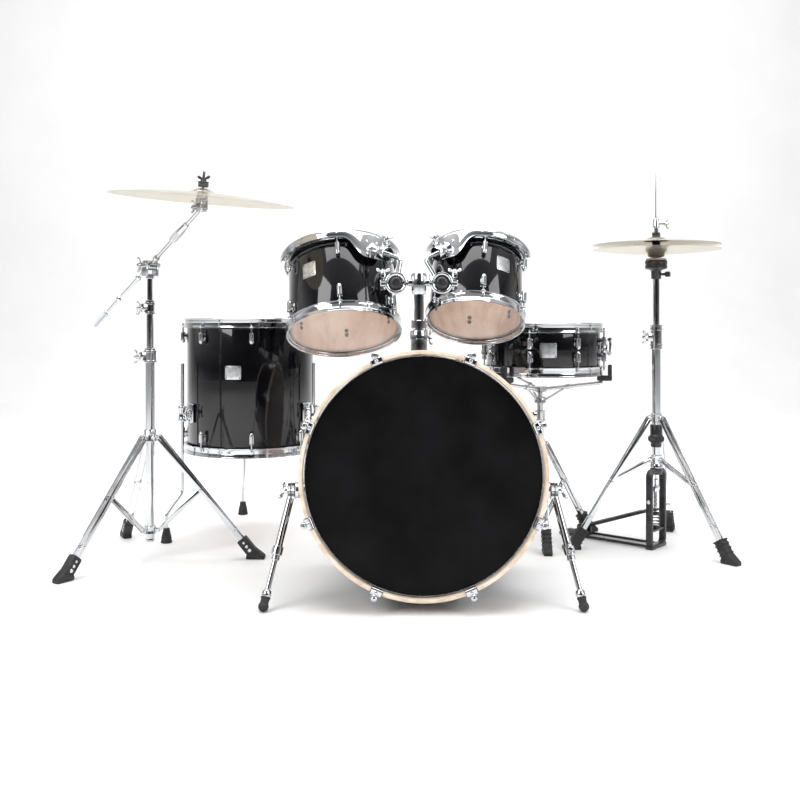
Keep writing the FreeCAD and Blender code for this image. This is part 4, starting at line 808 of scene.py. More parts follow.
def wing(spot, axis, way, span=0.038, size=0.0085):
    """A wing bolt's head: a coned hub along its axis and two ears that bend outwards."""
    spot, axis, way = np.asarray(spot, float), unit(axis), unit(way)
    hub = turned([(0, -size), (size * 0.85, -size), (size * 0.9, -size * 0.6), (size * 0.55, size * 0.5),
                  (size * 0.45, size * 0.75), (0, size * 0.8)], spot, axis, 24)
    t = np.linspace(0, 1, 9)[:, None]
    radius = size * np.interp(t[:, 0], [0, 0.25, 0.7, 0.93, 1], [0.34, 0.36, 0.52, 0.42, 0.12])
    ears = [tube(spot + sign * way * (0.2 * size + t * (span / 2 - 0.2 * size))
                 + axis * size * (0.9 * t ** 2 - 0.1), radius, 14) for sign in (-1, 1)]
    return [hub, *ears]


def ring_band(spot, axis, inner, outer, width, edge=0.001, steps=40):
    """A collar: a thick ring with eased corners about an axis."""
    profile = [(inner, -width / 2), (outer - edge, -width / 2), (outer, edge - width / 2),
               (outer, width / 2 - edge), (outer - edge, width / 2), (inner, width / 2)]
    return turned(profile, spot, axis, steps, closed=True)


print("hardware shapes ready")

# %% [markdown]
# ## Bass drum
# The bass drum has pale maple hoops in place of steel ones. Eight claws at each end hook over a
# hoop, each with a rubber liner, and a long rod pulls it towards a tall lug. Inside, the bare
# maple shows through the clear back head, with an opening where the tom post comes through.

# %% Hoops, claws, rods and lugs
BASS_HOOP, HOOP_WALL, HOOP_WIDTH, BASS_RISE = 0.296, 0.0095, 0.038, 0.0165
CLAW_WALL, CLAW_WIDTH = 0.0032, 0.027


def wood_hoop(depth):
    """A wide wooden hoop with rounded edges."""
    inner, outer, ease = BASS_HOOP - HOOP_WALL, BASS_HOOP, 0.0022
    low, high = depth + BASS_RISE - HOOP_WIDTH, depth + BASS_RISE
    a = np.radians(np.arange(0, 91, 30))
    corners = [((outer - ease, high - ease), 0), ((inner + ease, high - ease), 90),
               ((inner + ease, low + ease), 180), ((outer - ease, low + ease), 270)]
    profile = np.concatenate([np.stack([x + ease * np.cos(a + np.radians(turn)),
                                        z + ease * np.sin(a + np.radians(turn))], -1)
                              for (x, z), turn in corners])
    return turned(profile, ORIGIN, UP, 160, closed=True)


def claw(radius, depth):
    """A claw: a strip hooked over the hoop, a rubber liner under it and a boss for the rod."""
    inner, face, out = BASS_HOOP - HOOP_WALL, depth + BASS_RISE, radius + CLAW_OFFSET
    lift = CLAW_WALL / 2 + 0.0009
    hook = bent_line([(inner - lift, face - 0.0065), (inner - lift, face + lift),
                      (BASS_HOOP + lift, face + lift), (BASS_HOOP + lift, face - 0.0200)], 0.0030)
    liner = bent_line([(inner - 0.0006, face - 0.0080), (inner - 0.0006, face + 0.0006),
                       (BASS_HOOP + 0.0006, face + 0.0006), (BASS_HOOP + 0.0006, face - 0.0220)],
                      0.0012)
    a = np.linspace(0, np.pi, 9)
    boss = [(0.0038, face - 0.021), (0.0072, face - 0.021), (0.0080, face - 0.019),
            (0.0080, face + 0.0015), (0.0072, face + 0.0036), (0.0038, face + 0.0036)]
    web = rounded_box((BASS_HOOP + 0.0050, 0, face - 0.0085), (0.0075, 0.0118, 0.0225), edge=0.0018)
    dome = turned(np.stack([0.0045 * np.sin(a[:5]), 0.0016 * np.cos(a[:5])], -1),
                  (inner + 0.0055, 0, face + lift * 2 - 0.0005), UP, 18)
    return ([strip(hook, CLAW_WIDTH, CLAW_WALL), turned(boss, (out, 0, 0), UP, 28, closed=True), web,
             dome], [strip(liner, CLAW_WIDTH + 0.0024, 0.0012, 0.0003)])


def claw_rod(radius, depth):
    """A claw rod: stem, flanged washer and a square key head."""
    out, face = radius + CLAW_OFFSET, depth + BASS_RISE + 0.0038
    stem = plug((out, 0, depth - 0.074), (out, 0, face + 0.001), 0.0034, 16)
    flange = turned([(0, 0), (0.0075, 0), (0.0078, 0.0008), (0.0066, 0.0022), (0.0048, 0.0026),
                     (0.0044, 0.0052), (0, 0.0056)], (out, 0, face), UP, 26)
    key = rounded_box((out, 0, face + 0.0092), (0.0058, 0.0058, 0.0080), edge=0.0008)
    return [stem, flange, key]


bass = DRUMS["bass_drum"]
place, radius, depth = bass["place"], bass["radius"], bass["depth"]
rims = both_ends([wood_hoop(depth)], depth)
piece("bass_wood_hoops", [moved(shape, place) for shape in rims], pale_maple, "base",
      "bass_drum_hoops")
metal, liners = claw(radius, depth)
metal = [around(shape, 8) for shape in metal + claw_rod(radius, depth)]
liners = [around(shape, 8) for shape in liners]
piece("bass_claws", [moved(shape, place) for shape in both_ends(metal, depth)], chrome, "base",
      "bass_drum_claws")
piece("bass_claw_liners", [moved(shape, place) for shape in both_ends(liners, depth)], rubber, "base")
lugs = [around(shape, 8) for shape in bullet_lug(radius, depth, CLAW_OFFSET, 0.0082, 0.034, 0.058)]
piece("bass_bullet_lugs", [moved(shape, place) for shape in both_ends(lugs, depth)], chrome, "base",
      "bass_drum_lugs")
print("bass drum claws:", 16)

# %% Bare maple inside the bass drum
LINING = 0.0012


def lining(radius, depth, opening_at, opening_half):
    """A sleeve inside the shell; faces within the tom post's opening are left out."""
    heights = np.linspace(0.004, depth - 0.004, 41)
    middle_wall = radius - WALL - 0.0002 - LINING / 2
    points, faces = turned([(middle_wall, height) for height in heights], ORIGIN, UP, 180)
    middle = points[faces].mean(axis=1)
    ahead = np.abs(middle - opening_at).max(axis=1)
    return points, faces[ahead > opening_half]


POST_AT = mm(-8, 187, 559)
to_drum = np.linalg.inv(place)
post_in_drum = to_drum[:3, :3] @ POST_AT + to_drum[:3, 3]
sleeve = piece("bass_drum_lining", [moved(lining(radius, depth, post_in_drum, 0.021), place)],
               inner_maple, "base")
ply = sleeve.modifiers.new("ply", "SOLIDIFY")
ply.thickness, ply.offset = LINING, 0.0
print("post opening at", np.round(post_in_drum, 3))

# %% [markdown]
# ## Badges
# Each drum but the bass drum carries a small plate with four corner screws. The plates are blank.
# A plate is bent to the shell: its points sit on a cylinder a little over it.

# %% Bend the badges
def badge(radius, angle, height, wide, tall, lift=0.0009):
    """A curved plate on a shell: point = (radius + lift) at an angle, over a rounded outline."""
    columns, rows = 13, 7
    u, v = np.meshgrid(np.linspace(-1, 1, columns), np.linspace(-1, 1, rows))
    corner = 1 - 0.05 * np.abs(u) ** 8 * np.abs(v) ** 8
    rim = np.maximum(np.abs(u), np.abs(v)) > 0.99
    reach = radius + np.where(rim, 0.0001, lift)
    a = np.radians(angle) + u * corner * wide / 2 / radius
    z = height + v * corner * tall / 2
    return closed_sheet(*(np.stack([r * np.cos(a), r * np.sin(a), z], -1)
                          for r in (reach, radius - 0.0004 + 0 * u)))


def badge_screws(radius, angle, height, wide, tall):
    """Four small domed screws in a badge's corners."""
    t = np.linspace(0, np.pi / 2, 5)
    head = np.stack([0.0019 * np.sin(t), 0.0010 * np.cos(t)], -1)
    shapes = []
    for u in (-1, 1):
        for v in (-1, 1):
            a = np.radians(angle) + u * (wide / 2 - 0.0045) / radius
            way = np.array([np.cos(a), np.sin(a), 0])
            spot = way * (radius + 0.0009) + [0, 0, height + v * (tall / 2 - 0.0045)]
            shapes.append(turned(head, spot, way, 14))
    return shapes


badge_metal = finish("badge_plate", (0.72, 0.73, 0.74), 0.28, 1.0)
gloss(badge_metal, noise(badge_metal, 300, 3, (1, 1, 12)), 0.2, 0.4)
tone(badge_metal, noise(badge_metal, 90, 4), [(0.58, 0.59, 0.60), (0.82, 0.83, 0.84)])
BADGES = {"large_tom": (-33, 0.60, 0.044, 0.044), "small_tom": (26, 0.60, 0.042, 0.042),
          "floor_tom": (-16, 0.62, 0.050, 0.042), "snare": (17, 0.50, 0.050, 0.044)}
for name, (angle, share, wide, tall) in BADGES.items():
    drum = DRUMS[name]
    plate = (drum["radius"], angle, drum["depth"] * share, wide, tall)
    drum_piece(name, "_badge", [badge(*plate)], badge_metal)
    drum_piece(name, "_badge_screws", badge_screws(*plate), black_steel)
print("badges:", len(BADGES))

# %% [markdown]
# ## Cymbals
# A cymbal is thin bell bronze: a cup round the hole, a gently bowed plate and a thin edge. The
# lathe leaves fine grooves round the axis, so the pattern is rings whose radius is measured from
# the cymbal's own axis, drawn as a colour change, a roughness change and a slight relief.

# %% A lathed finish about an axis
def lathed(name, centre, axis, colours, ring_scale=300):
    """Rings about an axis: the Object point is carried to the axis and fed to a ring wave."""
    made = finish(name, colours[-1], 0.2, 1.0)
    place = add(made, "TexCoord")
    shift = add(made, "VectorMath", operation="SUBTRACT")
    shift.inputs[1].default_value = tuple(centre)
    away = add(made, "VectorMath", operation="CROSS_PRODUCT")
    away.inputs[1].default_value = tuple(unit(axis))
    wave = add(made, "TexWave", wave_type="RINGS", rings_direction="SPHERICAL", Scale=ring_scale,
               Distortion=0.6, Detail=2.0)
    link(made, place, shift, "Object", 0)
    link(made, shift, away, 0, 0)
    link(made, away, wave, 0, "Vector")
    reach = add(made, "VectorMath", operation="LENGTH")
    link(made, away, reach, 0, 0)
    ripple = add(made, "TexNoise", noise_dimensions="1D", Scale=210.0, Detail=5.0)
    link(made, reach, ripple, "Value", "W")
    tone(made, ripple, colours)
    gloss(made, wave, 0.16, 0.30)
    bump = add(made, "Bump", Strength=0.25, Distance=0.00008)
    link(made, wave, bump, "Fac", "Height")
    link(made, bump, shader_of(made), "Normal", "Normal")
    return made


def cymbal_shape(radius, bow, hole=0.0068, wall=0.0012, flip=1):
    """Cup, shoulder and bow: height = bow (1 - (r / radius) squared) outside the cup."""
    cup_r, cup_h = 0.036, 0.0115
    r = np.concatenate([np.linspace(hole, cup_r * 1.12, 16), np.linspace(cup_r * 1.25, radius, 30)])
    bowed = bow * (1 - (r / radius) ** 2)
    cup = cup_h * (0.5 + 0.5 * np.cos(np.pi * np.clip(r / (cup_r * 1.15), 0, 1) ** 1.7))
    top = (bowed + cup) * flip
    edge = np.where(r > radius - 0.001, 0.5, 1.0)
    return turned(np.concatenate([np.stack([r, top], -1),
                                  np.stack([r, top - wall * edge * flip], -1)[::-1]]),
                  ORIGIN, UP, 144, closed=True)


PALE_BRONZE = [(0.46, 0.40, 0.29), (0.60, 0.54, 0.42), (0.72, 0.67, 0.56)]
CRASH_AXIS = unit((0.080, -0.052, 1.0))
BOOM_RUN = unit((0.657, -0.5, 0.563))
TILTER_AT = mm(-780, 545, 847)
CRASH_PIVOT = TILTER_AT + BOOM_RUN * 0.268
CRASH_SEAT = CRASH_PIVOT + CRASH_AXIS * 0.026
CRASH_RADIUS, CRASH_BOW, HAT_RADIUS, HAT_BOW = 0.254, 0.021, 0.190, 0.013
CRASH_BASE = CRASH_SEAT + CRASH_AXIS * (0.0296 - CRASH_BOW - 0.013)
crash_turn = np.stack([*across(CRASH_AXIS), CRASH_AXIS], axis=1)
crash_metal = lathed("crash_bronze", CRASH_BASE, CRASH_AXIS, PALE_BRONZE)
piece("crash_plate", [set_down(cymbal_shape(CRASH_RADIUS, CRASH_BOW), CRASH_BASE, crash_turn)],
      crash_metal, "crash", "crash_cymbal", sharp=60)

HAT_AT = mm(719, 675, 0)
HAT_LOW, HAT_GAP, CUP = 0.8745, 0.015, 0.013
hat_low_at = HAT_AT + [0, 0, HAT_LOW + HAT_BOW + CUP]
hat_high_at = hat_low_at + [0, 0, HAT_GAP]
hat_metal = lathed("hat_bronze", HAT_AT, (0, 0, 1), PALE_BRONZE)
piece("hat_lower_plate", [set_down(cymbal_shape(HAT_RADIUS, HAT_BOW, flip=-1), hat_low_at)], hat_metal,
      "hihat_upper", "hihat_bottom_cymbal", sharp=60)
piece("hat_upper_plate", [set_down(cymbal_shape(HAT_RADIUS, HAT_BOW), hat_high_at)], hat_metal,
      "hihat_top", "hihat_top_cymbal", sharp=60)
print("cymbals turned")

# %% [markdown]
# ## Bass drum spurs and tom-post receiver
# Each spur turns on a toothed disc at the shell's side and is locked by a wing bolt. It is a tube
# with a thinner rod inside, a clamp collar and a round rubber foot. The receiver is a short
# tube on a curved saddle, and a wing bolt pinches it round the tom post.

# %% Saddles, receiver and spurs
SPUR_HEAD, SPUR_FOOT = (321, 110, 271), (379, 14, 13)


def saddle(radius, angle, low, high, wide, lift=0.0046):
    """A curved plate on a drum's shell with edges that run out to nothing."""
    u, v = np.meshgrid(np.linspace(-1, 1, 25), np.linspace(-1, 1, 13))
    edge = np.clip((1 - np.maximum(np.abs(u), np.abs(v))) * 9, 0, 1)
    reach = radius + 0.0004 + lift * np.sin(edge * np.pi / 2)
    a = np.radians(angle) + u * wide / 2 / radius
    z = (low + high) / 2 + v * (high - low) / 2
    return closed_sheet(*(np.stack([r * np.cos(a), r * np.sin(a), z], -1)
                          for r in (reach, radius - 0.0004 + 0 * u)))


def toothed_disc(spot, axis, radius, thick, teeth=36):
    """A disc whose edge is cut in fine teeth, with a raised middle on its outer face."""
    half = thick / 2
    rows = [(0, -half), (0.9, -half), (1, 0.001 - half), (1, half - 0.001), (0.9, half), (0.62, half),
            (0.58, half + 0.0012), (0, half + 0.0012)]
    return fluted([(radius * share, height) for share, height in rows], spot, axis, teeth, 0.03)


bass = DRUMS["bass_drum"]
place, radius, depth = bass["place"], bass["radius"], bass["depth"]
PHASE = bass["phase"]
fittings = [moved(saddle(radius, 90 - PHASE, depth - 0.215, depth - 0.130, 0.070), place)]
post_at = mm(-8, 187, 0)
fittings += [
    turned([(0.0131, 0.578), (0.026, 0.578), (0.0225, 0.592), (0.0208, 0.600), (0.0208, 0.642),
            (0.0225, 0.644), (0.0225, 0.660), (0.0205, 0.664), (0.0131, 0.664)], post_at, UP, 40,
           closed=True),
    rounded_box(mm(-8, 214, 645), (0.022, 0.024, 0.030), edge=0.003),
    plug(mm(-30, 218, 645), mm(14, 218, 645), 0.0040, 18), *wing(mm(20, 218, 645), (1, 0, 0), UP)]
for side in (-1, 1):
    angle = (180 + 9.2 if side < 0 else -9.2) - PHASE
    fittings.append(moved(saddle(radius, angle, depth - 0.140, depth - 0.052, 0.064), place))
    near, far = mm(side * 276, 110, 271), mm(side * 311, 110, 271)
    fittings.append(turned([(0.025, 0), (0.0195, 0.006), (0.0188, 0.026), (0.0205, 0.028),
                            (0.0205, 0.0345), (0, 0.0345)], near, far - near, 40))
piece("bass_brackets", fittings, chrome, "base", "bass_drum_brackets")


def spur(side):
    """Toothed head, wing bolt, outer tube, clamp collar, inner rod and cup for the foot."""
    head, foot = mm(side * SPUR_HEAD[0], *SPUR_HEAD[1:]), mm(side * SPUR_FOOT[0], *SPUR_FOOT[1:])
    way, run = np.array([side, 0.0, 0.0]), unit(foot - head)
    long = np.linalg.norm(foot - head)
    knee, collar = head + run * long * 0.6, head + run * long * 0.53
    square = unit(np.cross(run, way))
    steel = [toothed_disc(head - way * 0.0035, way, 0.0225, 0.009), toothed_disc(head + way * 0.006,
             way, 0.0215, 0.008), plug(head + way * 0.009, head + way * 0.019, 0.0075, 24),
             *wing(head + way * 0.022, way, run, 0.044, 0.010),
             plug(head + run * 0.010, knee, 0.0095, 28), ring_band(collar, run, 0.0093, 0.0135, 0.020),
             rounded_box(collar + square * 0.0165, (0.012, 0.012, 0.016), turn_to(way, run), 0.002),
             *wing(collar + square * 0.027, square, run, 0.034, 0.0075),
             ring_band(knee, run, 0.0060, 0.0103, 0.006), plug(knee, foot - run * 0.024, 0.0063, 24),
             turned([(0.0063, 0), (0.0090, 0.001), (0.0112, 0.005), (0.0118, 0.013), (0.0110, 0.0155),
                     (0, 0.0155)], foot - run * 0.0392, run, 28)]
    t = np.linspace(-0.72, np.pi / 2, 16)
    ball = np.stack([0.0126 * np.cos(t), -0.0126 * np.sin(t)], -1)
    profile = np.concatenate([[(0, -0.0232), (0.0105, -0.0232), (0.0117, -0.020), (0.0098, -0.014),
                               (0.0104, -0.010)], ball * [1, -1]])
    return steel, [turned(profile, foot, run, 32)]


for side, word in ((-1, "left"), (1, "right")):
    steel, foot = spur(side)
    piece(word + "_spur_steel", steel, chrome, word + "_spur", word + "_spur")
    piece(word + "_spur_foot", foot, rubber, word + "_spur")
print("spurs made")

# %% [markdown]
# ## Tom holder
# The post carries a cast block with a split ring at each side. A ring holds a black ball, the
# ball carries a bent rod, and the rod goes back to the tom. A key bolt beyond each ring closes it.

# %% Post, split rings and arms
RING_AT, RING_REACH, BAND_R, BALL_R, ARM_R = 783.5, 58, 0.0243, 0.0196, 0.00635
BAND = np.array([(0.0035, -0.0105), (0.0037, 0.0), (0.0035, 0.0105), (0.0015, 0.0118),
                 (-0.0015, 0.0118), (-0.0035, 0.0105), (-0.0035, -0.0105), (-0.0015, -0.0118),
                 (0.0015, -0.0118)])
holder = [plug(mm(-8, 187, 422), mm(-8, 187, 765), 0.0127, 36),
          ring_band(mm(-8, 187, 679), UP, 0.0125, 0.0195, 0.021),
          rounded_box(mm(-8, 209, 679), (0.016, 0.014, 0.017), edge=0.0025),
          *wing(mm(8, 212, 679), (1, 0, 0), UP, 0.034, 0.0075),
          turned([(0.0127, -0.030), (0.0165, -0.028), (0.0185, -0.022), (0.0195, 0.019),
                  (0.0175, 0.0245), (0.010, 0.0262), (0, 0.0265)], mm(-8, 187, RING_AT), UP, 40),
          rounded_box(mm(-8, 187, RING_AT), (0.088, 0.0175, 0.0165), edge=0.0045, steps=5)]
for side in (-1, 1):
    middle, bolt = mm(-8 + side * RING_REACH, 187, RING_AT), mm(-8 + side * (RING_REACH + 33), 187, 0)
    a = np.radians(np.linspace(6, 174, 30))
    for half in (-1, 1):
        out = np.stack([np.cos(a), 0 * a, half * np.sin(a)], -1)
        holder += [carried(middle + BAND_R * out, BAND, out, np.tile([0.0, 1.0, 0.0], (len(a), 1))),
                   rounded_box(middle + [side * 0.0315, 0, half * 0.0042], (0.018, 0.017, 0.0070),
                               edge=0.0022),
                   rounded_box(middle - [side * 0.0270, 0, -half * 0.0042], (0.012, 0.019, 0.0070),
                               edge=0.0022)]
    low, high = bolt + [0, 0, (RING_AT - 16) / 1000], bolt + [0, 0, (RING_AT + 24) / 1000]
    holder += [plug(low, high, 0.0038, 18), plug(low - [0, 0, 0.002], low + [0, 0, 0.007], 0.0072, 6),
               plug(high - [0, 0, 0.010], high, 0.0066, 24),
               *wing(high + [0, 0, 0.006], UP, (1, 0, 0), 0.034, 0.0085)]
piece("holder_cast", holder, chrome, "tom_post", "tom_post", sharp=40)

ARMS = {"large_tom": (-1, (-54, 302, 852), -57), "small_tom": (1, (10, 300, 852), -126)}


def ball_shape(spot, radius, steps=28):
    t = np.linspace(0, np.pi, steps // 2 + 1)
    return turned(np.stack([radius * np.sin(t), -radius * np.cos(t)], -1), spot, UP, steps)


for name, (side, elbow, plate_angle) in ARMS.items():
    drum = DRUMS[name]
    place, radius, depth = drum["place"], drum["radius"], drum["depth"]
    heart = mm(-8 + side * RING_REACH, 187, RING_AT)
    bend = mm(-8 + side * RING_REACH, 279, RING_AT)
    a = np.radians(plate_angle - drum["phase"])
    anchor = moved((np.array([[np.cos(a), np.sin(a), 0]]) * (radius + 0.0215) + [0, 0, depth - 0.045],
                    None), place)[0][0]
    elbow = mm(*elbow)
    run, long = unit(anchor - elbow), np.linalg.norm(anchor - elbow)
    path = rounded_path([heart + [0, 0.012, 0], bend, elbow, anchor - run * 0.008], 0.015, 14)
    piece(name + "_arm_rod", [tube(path, ARM_R, 26)], chrome, drum["body"], name + "_arm")
    cut_ball = ball_shape(heart, BALL_R)
    flat = np.maximum(cut_ball[0][:, 1], heart[1] - 0.0158)
    cut_ball[0][:, 1] = flat
    face = [plug(heart - [0, 0.0155, 0], heart - [0, 0.0172, 0], 0.0050, 6)]
    piece(name + "_arm_ball", [cut_ball, *face], black_steel, drum["body"])
    clamp_at = anchor - run * (long * 0.54 - 0.012)
    upward = unit(np.array(UP) - run * run[2])
    clamp = [turned([(0.0067, -0.013), (0.0185, -0.013), (0.0198, -0.011), (0.0198, 0.011),
                     (0.0185, 0.013), (0.0067, 0.013)], clamp_at, run, 40, closed=True),
             turned([(0.0067, 0.012), (0.0150, 0.012), (0.0126, 0.020), (0.0120, long * 0.54 - 0.026),
                     (0.0170, long * 0.54 - 0.014), (0.0067, long * 0.54 - 0.014)], clamp_at, run, 36,
                    closed=True),
             rounded_box(clamp_at + upward * 0.0235, (0.022, 0.016, 0.014), turn_to(run, upward), 0.003),
             plug(clamp_at + upward * 0.028, clamp_at + upward * 0.038, 0.0055, 20),
             *wing(clamp_at + upward * 0.042, upward, unit(np.cross(run, upward)), 0.036, 0.0085)]
    piece(name + "_arm_clamp", clamp, chrome, drum["body"])
print("tom arms made")

# %% [markdown]
# ## Suspension rims
# Each rack tom hangs from a steel rim over its top hoop, so that nothing is bolted to the shell.
# The rim is a curved sheet: a lip over the hoop, a wall, and a skirt that is deepest at the clamp
# plate and fades towards both tips. Its lower edge is one smooth bump, exp(-(a / width) squared).

# %% Roll the suspension rims
def suspension(radius, depth, middle, plate, spread):
    """A sheet of angle by height, its lower edge lowered near the plate, 1.6 mm thick."""
    u, v = np.meshgrid(np.linspace(-1, 1, 121), np.linspace(0, 1, 15))
    a = np.radians(middle + u * spread / 2)
    away = np.abs(a - np.radians(plate))
    drop = 0.056 * np.exp(-(away / 0.33) ** 4) + 0.006 * np.exp(-(away / 0.8) ** 2)
    tip = np.sqrt(np.clip(1 - np.abs(u) ** 14, 0, 1))
    top, low = depth + 0.0100, depth - 0.0120 - drop
    z = top - (top - low) * v * tip - (1 - tip) * 0.008
    lip = np.clip(1 - v * 9, 0, 1)
    flare = 0.0016 * np.sin(np.clip(v * 1.2, 0, 1) * np.pi)
    r = radius + 0.0212 - 0.0105 * lip ** 1.6 + flare
    z = z + 0.0018 * (1 - lip) * (v < 0.12)
    outer = np.stack([r * np.cos(a), r * np.sin(a), z], -1)
    inner = np.stack([(r - 0.0016) * np.cos(a), (r - 0.0016) * np.sin(a), z - 0.0004], -1)
    return closed_sheet(outer, inner)


def rim_details(radius, depth, middle, plate, spread):
    """Domed screw heads along the rim's wall and four rivets where the clamp plate sits."""
    shapes = []
    t = np.linspace(0, np.pi / 2, 5)
    for angle in [middle + share * spread / 2 for share in (-0.86, -0.45, 0.0, 0.45, 0.86)]:
        a = np.radians(angle)
        way = np.array([np.cos(a), np.sin(a), 0])
        spot = way * (radius + 0.0212) + [0, 0, depth - 0.002]
        shapes.append(turned(np.stack([0.0036 * np.sin(t), 0.0022 * np.cos(t)], -1), spot, way, 18))
    for share in (-1, 1):
        a = np.radians(plate + share * 5.2)
        way = np.array([np.cos(a), np.sin(a), 0])
        for height in (depth - 0.026, depth - 0.064):
            shapes.append(rivet(way * (radius + 0.0215) + [0, 0, height], way, 0.0022, 0.0030))
    return shapes


SUSPENSIONS = {"large_tom": (-90, -57, 165), "small_tom": (-90, -126, 165)}
for name, (middle, plate, spread) in SUSPENSIONS.items():
    drum = DRUMS[name]
    middle, plate = middle - drum["phase"], plate - drum["phase"]
    sheet = [suspension(drum["radius"], drum["depth"], middle, plate, spread),
             *rim_details(drum["radius"], drum["depth"], middle, plate, spread)]
    drum_piece(name, "_suspension", sheet, chrome, name + "_mount", sharp=50)
print("suspension rims rolled")

# %% [markdown]
# ## Boots and tripods
# A stand's leg is a pair of flat bars, held off its tube by a pair of shorter braces. Each leg
# ends in a rubber boot with a toe. The boot's side outline follows the leg, so a formula takes
# the leg's slope and gives both sides of the outline.

# %% A rubber boot and a pair of bars
BAR_GAP, BRACE_GAP, LEG_END, BOOT_LONG = 0.009, 0.005, 0.014, 0.056


def about(x, y):
    """A function for points about one upright stand: angle, distance and height, in CAD sizes."""
    def point(angle, distance, height):
        a = np.radians(angle)
        return mm(x + distance * np.cos(a), y + distance * np.sin(a), height)
    return point


def boot(foot, outward, climb, ribs):
    """A moulded boot: its outline goes up the leg's slope; ribs cross it, or windows pierce it."""
    outward, climb = unit(outward), unit(climb)
    slope = np.array([climb @ outward, climb[2]])
    across_leg = np.array([slope[1], -slope[0]])
    top, mid = slope * BOOT_LONG + [0, LEG_END], slope * 0.012 + [0, LEG_END]
    upper = [top + across_leg * 0.0125, top + across_leg * 0.0145 - slope * 0.003,
             mid + across_leg * 0.0150, (0.0235, 0.0180), (0.0325, 0.0105), (0.0330, 0.0030),
             (0.0310, 0.0)]
    lower = [top - across_leg * 0.0125, top - across_leg * 0.0145 - slope * 0.003,
             mid - across_leg * 0.0150, (-0.0185, 0.0150), (-0.0205, 0.0080), (-0.0205, 0.0025),
             (-0.0190, 0.0)]
    turn = np.stack([outward, np.cross(UP, outward), np.array(UP, float)], axis=1)
    body = [set_down(moulded(upper, lower, 0.0262, 0.0022), foot, turn)]
    ankle, side = foot + [0, 0, LEG_END], np.cross(UP, outward)
    square = np.stack([climb, side, np.cross(climb, side)], axis=1)
    if ribs:
        return body + [rounded_box(ankle + climb * BOOT_LONG * share, (0.0042, 0.0292, 0.0330), square,
                                   0.0014) for share in (0.05, 0.28, 0.52, 0.76, 0.97)], []
    windows = []
    for share, size in ((0.28, 0.0052), (0.52, 0.0044), (0.76, 0.0036)):
        spot = ankle + climb * BOOT_LONG * share
        windows += [plug(spot + side * way * 0.0120, spot + side * way * 0.0136, size, 18)
                    for way in (-1, 1)]
    return body, windows


def bar_pair(start, end, width, thickness, gap, side):
    """Two flat bars side by side about the line between two points."""
    shapes = []
    for way in (-1, 1):
        shapes += flat_bar(start + side * way * gap, end + side * way * gap, width, thickness, side)
    return shapes


def fixed_tripod(centre, angles, feet, hub_high, brace_low, knee, tube_r):
    """Legs, braces, rivets, collars and boots of a stand that is set up and locked."""
    metal, rubbers = [], []
    for angle in angles:
        top, low = centre(angle, 22, hub_high), centre(angle, feet - 26, 14)
        mid, hinge_at = top + (low - top) * knee, centre(angle, 20, brace_low)
        side = unit(np.cross(low - top, UP))
        outward = centre(angle, 1, 0) - centre(angle, 0, 0)
        metal += bar_pair(top, low - (low - top) * 0.02, 0.0130, 0.0030, BAR_GAP, side)
        metal += bar_pair(hinge_at, mid, 0.0110, 0.0030, BRACE_GAP, side)
        metal += [rivet(spot, side, 0.0108, 0.0030) for spot in (top, mid, hinge_at)]
        spacer_at = top + (low - top) * 0.78
        metal += [rivet(spacer_at, side, 0.0108, 0.0026),
                  plug(spacer_at - side * 0.0075, spacer_at + side * 0.0075, 0.0052, 20)]
        metal += [rounded_box(centre(angle, 18.5, height), (0.014, 0.0066, 0.016), turn_to(outward, UP),
                              0.002) for height in (hub_high, brace_low)]
        rubbers += boot(centre(angle, feet - 26, 0), outward, top - low, True)[0]
    for height in (hub_high, brace_low):
        metal.append(ring_band(centre(0, 0, height + 1), UP, tube_r - 0.0002, tube_r + 0.0052, 0.025,
                               0.0016))
        metal.append(ring_band(centre(0, 0, height + 1), UP, tube_r, tube_r + 0.0058, 0.007, 0.001))
    return metal, rubbers


def way_out(centre, angle):
    """The level unit vector that leaves a stand's axis at an angle."""
    return unit(centre(angle, 1, 0) - centre(angle, 0, 0))


def tube_clamp(centre, angle, low, high, inner, outer, ear_out, wing_out):
    """A height clamp: a split sleeve with lips, an ear, a screw and its wing."""
    way = way_out(centre, angle)
    middle = (low + high) / 2
    lips = [(inner, low), (outer - 0.0012, low), (outer + 0.0004, low + 0.0012),
            (outer + 0.0004, low + 0.005), (outer - 0.0010, low + 0.0065),
            (outer - 0.0010, high - 0.0065), (outer + 0.0004, high - 0.005),
            (outer + 0.0004, high - 0.0012), (outer - 0.0012, high), (inner, high)]
    base = centre(0, 0, 0)
    ear = base + way * ear_out + [0, 0, middle]
    out = base + way * wing_out + [0, 0, middle]
    return [turned(lips, base, UP, 44, closed=True),
            rounded_box(ear - way * 0.004, (0.026, 0.0150, min(0.026, high - low)), turn_to(way, UP),
                        0.003),
            plug(ear, out, 0.0042, 18), *wing(out + way * 0.002, way, UP, 0.040, 0.0085)]


snare_at, hat_at, boom_at = about(384, 791), about(719, 675), about(-780, 545)
snare_metal, snare_boots = fixed_tripod(snare_at, (268, 31, 148), 225, 300, 60, 0.42, 0.0127)
hat_metal_parts, hat_boots = fixed_tripod(hat_at, (185.6, 307, 66), 281, 392, 265, 0.5, 0.0132)
snare_metal += [plug(snare_at(0, 0, 44), snare_at(0, 0, 398), 0.0127, 36),
                plug(snare_at(0, 0, 40), snare_at(0, 0, 50), 0.0132, 36),
                *tube_clamp(snare_at, 200, 0.370, 0.404, 0.0100, 0.0177, 0.020, 0.034)]
piece("snare_stand_metal", snare_metal, chrome, "base", "snare_stand")
print("snare and hi-hat tripods made")

